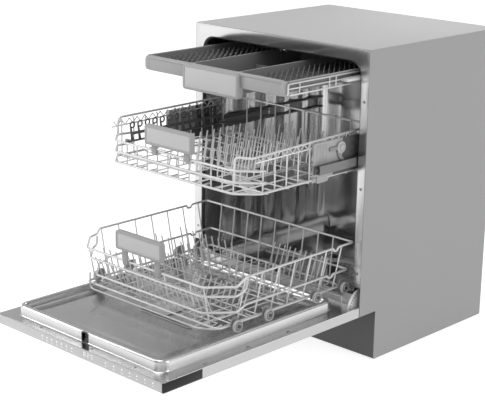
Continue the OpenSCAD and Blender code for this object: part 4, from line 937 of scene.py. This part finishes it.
def brackets():
    """Plates that carry the upper rack on its runners, with the clips of its folding pieces."""
    bm, rear = bmesh.new(), bmesh.new()
    step = [(-12, 516), (-12, 524), (-4, 532), (8, 538), (22, 548), (22, 604)]
    for side in SIDES:
        plate = span_x(side, 255.6, 258.2)
        prism(bm, [(-85, 522), (-70, 522), (-70, 504), (-30, 504), (-30, 516)] + step + [(-81, 604), (-85, 600)],
              "X", *plate)
        prism(rear, [(-12, 516), (105, 516), (105, 604)] + step[:0:-1], "X", *plate)
        side_block(rear, side, (258.2, -85, 528.2), (261.4, 105, 549.8), 0.8)
        side_block(rear, side, (261.3, -85, 534.2), (264.6, 105, 543.8), 0.5)
        for y in (-74, -52):
            side_block(bm, side, (258.0, y, 556), (259.0, y + 14, 598), 0.4)
        for z in (556, 574, 592):
            side_block(rear, side, (258.0, 52, z), (259.0, 98, z + 4), 0.4)
        for z in (UP_FLOOR, UP_RIM - 16):
            for y in (-77, 97):
                side_block(bm, side, (248.6, y - 7, z - 6), (256.4, y + 7, z + 6), 1.6)
    for y in (-229, 83):
        for x_low, x_high, z_low, z_high in ((137.5, 140.0, 513.9, 521), (144.0, 146.5, 513.9, 521),
                                             (137.5, 146.5, 510.8, 514.9)):
            block(bm, (x_low, y - 3, z_low), (x_high, y + 3, z_high), 0.7)
    for y in (-235, 108):
        for x_low, x_high, z_low, z_high, ease in ((-248.2, -239.2, 542, 554, 1.2), (-239.5, -230, 542, 544.6, 1.0),
                                                   (-239.5, -230, 551.4, 554, 1.0)):
            block(bm, (x_low, y - 3.5, z_low), (x_high, y + 3.5, z_high), ease)
    finish(bm, "runner_brackets", BRACKET_PLASTIC, "upper_rack", ["side_brackets"], bevel=0.3)
    finish(rear, "runner_bracket_rails", RAIL_PLASTIC, "upper_rack", bevel=0.3)


def levers():
    """Height levers: a turned knob and a curved plate with a ribbed thumb pad."""
    ring, arm = bmesh.new(), bmesh.new()
    y, z = 13, 582
    plate = [(-15, 1), (-14, -8), (-10, -20), (-3, -29), (8, -33), (12, -30), (4, -24), (-1, -14), (0, -6), (-6, 2)]
    for side in SIDES:
        lathe(ring, [(0, 0), (14.4, 0), (15, 0.8), (15, 4.4), (14, 5.6), (11.4, 5.6), (10.4, 4.0), (8.0, 4.0),
                     (7.0, 5.6), (5.6, 8.6), (2.8, 8.8), (2.2, 7.6), (0, 7.6)], (side * 258.7, y, z), "X", 36, side)
        prism(arm, [(y + dy, z + dz) for dy, dz in plate], "X", *span_x(side, 258.7, 262.6))
        side_block(arm, side, (258.7, y - 42, z - 5), (262.6, y - 10, z + 5), 1.8)
        for k in range(5):
            side_block(arm, side, (262.2, y - 40 + 4.4 * k, z - 4), (263.0, y - 38 + 4.4 * k, z + 4), 0.3)
    finish(ring, "height_lever_knobs", WHEEL_PLASTIC, "lever_pair", ["height_levers"])
    finish(arm, "height_lever_arms", GREY_PLASTIC, "lever_pair")


def comb():
    """A spindle with a row of open loops and a bar through them."""
    bm = bmesh.new()
    x, y_low, y_high, pivot_z, loop_z, loop_r = -236, -247, 120, 548, 590, 7.2
    tube(bm, [(x, y_low, pivot_z), (x, y_high, pivot_z)], 2.9, sides=14)
    for y in range(y_low + 24, y_high - 19, 26):
        loop = [(x, *on_circle(y, loop_z, loop_r, a)) for a in range(-180, 225, 18)]
        tube(bm, [(x, y - 2.2, pivot_z), *loop, (x, y + 2.2, pivot_z)], 2.1)
    block(bm, (x - 1.5, y_low + 20, 564), (x + 1.5, y_high - 20, 572), 0.9)
    finish(bm, "glass_comb_moulding", COMB_PLASTIC, "glass_holder", ["glass_comb"])


# ---- Spray arms, filter and caps ----


def spray_arm(name, body, node, centre, angle, reach, wide, thick, bore):
    """A hollow arm with a swept planform, a hub, end paddles and two rows of jets."""
    bm, jets = bmesh.new(), bmesh.new()
    hub, steps = bore + 12, 24
    turn, centre = Matrix.Rotation(math.radians(angle), 3, "Z"), Vector(centre)
    outline = []
    for k in range(steps + 1):
        t = -1 + 2 * k / steps
        x = t * reach
        bulge = hub * math.exp(-(x / (hub * 1.25)) ** 2)
        paddle = 0.13 * wide * math.sin(math.pi * abs(t)) + wide * 0.36
        tip = math.sqrt(max(0.0, 1 - (max(abs(t) - 0.93, 0) / 0.07) ** 2))
        outline.append((x, max(bulge, paddle) * max(tip, 0.25)))
    outline += [(x, -y) for x, y in reversed(outline)]
    loft(bm, [[turn @ Vector((x * (1 - shrink / reach), y * (1 - shrink / (wide * 0.5)), 0)) + centre
               + Vector((0, 0, z)) for x, y in outline]
              for shrink, z in ((3, 1.0), (0.6, 2.0), (0.4, thick * 0.55), (3.2, thick - 1.6), (7, thick - 1.0))],
         cap=(True, True))
    lathe(bm, [(bore + 0.1, 0), (hub - 1, 0), (hub, 1.0), (hub, thick - 1), (hub - 1.2, thick),
               (bore + 3, thick), (bore + 0.1, thick - 0.2)], centre)
    finish(bm, name, PALE_PLASTIC, body, [node], smooth=45)
    for side in SIDES:
        for k in range(6):
            x, y = side * (hub + 8 + k * (reach - hub - 18) / 5), side * (3 if k % 2 else -3)
            lathe(jets, [(3.0, thick - 1.4), (2.4, thick - 0.45), (1.3, thick - 0.4), (1.2, thick - 1.2),
                         (0, thick - 1.3)], turn @ Vector((x, y, 0)) + centre, "Z", 14)
    finish(jets, name + "_jets", DARK_PLASTIC, body)


def knurl(bm, x, y, reach, low, high, count, radius):
    """Fine upright ribs round a cap or a mesh cylinder."""
    for k in range(count):
        at = on_circle(x, y, reach, 360 * k / count)
        tube(bm, [(*at, low), (*at, high)], radius, sides=5)


def arms_and_filter():
    spray_arm("lower_arm_shell", "lower_arm", "lower_spray_arm", (0, 318, 158.5), 24, 203, 40, 10, 7)
    spray_arm("upper_arm_shell", "upper_arm", "upper_spray_arm", (0, -78.5, 478.5), -35, 199, 36, 9.6, 7)
    spray_arm("ceiling_arm_shell", "ceiling_arm", "ceiling_spray_arm", (0, 318, 769), 35, 109, 24, 7, 5)
    bm, x, y = bmesh.new(), 90, 258
    lathe(bm, [(36, 79), (37.6, 77), (37.8, 134.4), (49, 134.0), (49.6, 135.0), (37, 135.4), (36.2, 134), (36, 79)],
          (x, y, 0), "Z", 40)
    knurl(bm, x, y, 37.9, 80, 128, 24, 0.5)
    block(bm, (x - 36, y - 3, 127.5), (x + 36, y + 3, 147), 2.0)
    finish(bm, "filter_beaker", GREY_PLASTIC, "filter", ["filter_cylinder"])
    cap, x, y = bmesh.new(), -150, 205
    lathe(cap, [(25.8, -9.8), (25.8, 0.1), (34, 0.2), (35, 1.2), (35, 4.6), (33, 6.0), (12, 6.1), (0, 6.0)],
          (x, y, 135), "Z", 40)
    block(cap, (x - 26, y - 4, 140), (x + 26, y + 4, 149.8), 2.4)
    knurl(cap, x, y, 34.4, 136.4, 139.4, 30, 0.55)
    finish(cap, "salt_cap_moulding", GREY_PLASTIC, "salt_lid", ["salt_cap"])


# ---- Cutlery tray ----

TRAY_FRONT, TRAY_BACK, TRAY_TOP, TRAY_LOW = -174, 250, 764, 727


def tray_frame():
    bm, front, back, low, high = bmesh.new(), TRAY_FRONT + 6, TRAY_BACK, 731, 758
    for side in SIDES:
        x = side * 245
        wire(bm, [(x - side * 18, front, low), (x, front, low), (x, front, high), (x, back, high), (x, back, low),
                  (x, front + 6, low)], 6, 2.0, sides=9)
        tube(bm, [(x, front + 2, 746), (x, back, 746)], 1.7)
        for y in (-128, -20, 4, 112, 210):
            tube(bm, [(x, y, low), (x, y, high)], 1.7)
        for y in (-154, 40, 238):
            tube(bm, [(side * 82, y, low), (x - side * 2, y, low)], 1.9)
        side_block(bm, side, (246.2, 20.2, 742.5), (267.9, 249.8, 749.5), 1.4)
    tube(bm, [(-245, back - 1, low), (245, back - 1, low)], 1.7)
    finish(bm, "tray_wire_frame", RACK_WIRE, "cutlery_tray", ["tray_frame"])


def tray_front():
    """Fascia with a deep pull in the middle, its face set in a rim."""
    y, half, low = TRAY_FRONT, 96, 700

    def rings(*levels):
        return inset_rings((-half, low), (half, TRAY_TOP), 9, "Y", 5, 2, levels)

    bm, inset = bmesh.new(), bmesh.new()
    for side in SIDES:
        side_block(bm, side, (95.5, y + 1.5, TRAY_LOW), (229, y + 10, TRAY_TOP - 4), 2.2, 3)
        side_block(bm, side, (225, y + 1, TRAY_LOW + 1), (240, y + 12, TRAY_TOP - 1), 2.0)
    loft(bm, rings((3, y + 10), (0, y + 10), (0, y - 5.4), (0.8, y - 7.2), (2.6, y - 7.95), (7, y - 7.95)))
    loft(bm, rings((3, y + 10), (3, y + 7)), cap=(False, True))
    finish(bm, "tray_fascia_shell", GRIP_PLASTIC, "cutlery_tray", ["tray_fascia"])
    loft(inset, rings((7, y - 7.95), (7.6, y - 6.4), (10.5, y - 7.1)), cap=(False, True))
    finish(inset, "tray_fascia_face", GRIP_INSET, "cutlery_tray")


def tray_pan(bm, x_low, x_high, floor, slope=3.0):
    """One thin-walled compartment with a rolled top edge and slightly sloping walls."""
    wall = 2.0
    loft(bm, inset_rings((x_low, TRAY_FRONT + 10.6), (x_high, TRAY_BACK - 4.2), 7, "Z", 4, 7, (
        (slope, floor), (0.4, TRAY_TOP - 3), (0, TRAY_TOP - 2.6), (0, TRAY_TOP - 0.6), (0.8, TRAY_TOP),
        (wall - 0.3, TRAY_TOP), (wall + 0.2, TRAY_TOP - 1), (wall + slope, floor + 2))), cap=(True, True))


def trays():
    bm, rims, ribs = bmesh.new(), bmesh.new(), bmesh.new()
    for side in SIDES:
        tray_pan(bm, *span_x(side, 81.2, 241.8), 737)
    tray_pan(bm, -79.8, 79.8, 706, slope=6)
    for y in (-60, 60):
        block(bm, (-76, y, 707), (76, y + 2, 736), 0.8)
    finish(bm, "cutlery_pans", MID_PLASTIC, "cutlery_tray", ["cutlery_trays"])
    for x in (-241.5, -80.5, 80.5, 241.5):
        tube(rims, [(x, TRAY_FRONT + 12, TRAY_TOP - 1.6), (x, TRAY_BACK - 5, TRAY_TOP - 1.6)], 2.2, sides=10)
    tube(rims, [(-228, TRAY_FRONT + 5, TRAY_TOP - 3.4), (228, TRAY_FRONT + 5, TRAY_TOP - 3.4)], 5.2, sides=16)
    finish(rims, "cutlery_pan_rims", GRIP_PLASTIC, "cutlery_tray")
    for side in SIDES:
        for column in range(9):
            x, tip = 96 + 16 * column, 757.5 if column % 2 else 753
            side_block(ribs, side, (x, -148, 738.5), (x + 1.6, 232, 742.6), 0.6)
            for y in range(-144, 217, 20):
                tube(ribs, [(side * (x + 0.8), y, 742), (side * (x + 0.8), y + 3, tip)], 1.2, sides=6)
        for y in range(-150, 240, 30):
            side_block(ribs, side, (86, y, 738.5), (238, y + 1.6, 740.6), 0.5)
        for y in range(-146, 206, 27):
            block(ribs, (side * 52 - 22, y, 707), (side * 52 + 22, y + 1.8, 719), 0.6)
    finish(ribs, "cutlery_tines", MID_PLASTIC, "cutlery_tray")


cabinet_panels()
plinth_and_base()
front_frame()
tub_shell()
tub_floor()
seal()
striker()
rails()
feed()
water_system()
door_shell()
liner()
strip()
dispenser()
hinge_guards()
lower_basket()
grip("lower_grip", "lower_rack", "lower_rack_handle", -418.7, 338, 386, 299)
for wheel_name, wheel_body, wheel_node, wheel_y in (
        ("front_wheel", "front_wheel_pair", "front_wheels", -331),
        ("second_wheel", "second_wheel_pair", "second_wheels", -223),
        ("third_wheel", "third_wheel_pair", "third_wheels", -47),
        ("rear_wheel", "rear_wheel_pair", "rear_wheels", 60)):
    wheel_set(wheel_name, wheel_body, wheel_node, wheel_y)
carriers()
upper_basket()
grip("upper_grip", "upper_rack", "upper_rack_handle", -322.7, 584, 634, 560)
brackets()
levers()
comb()
arms_and_filter()
tray_frame()
tray_front()
trays()
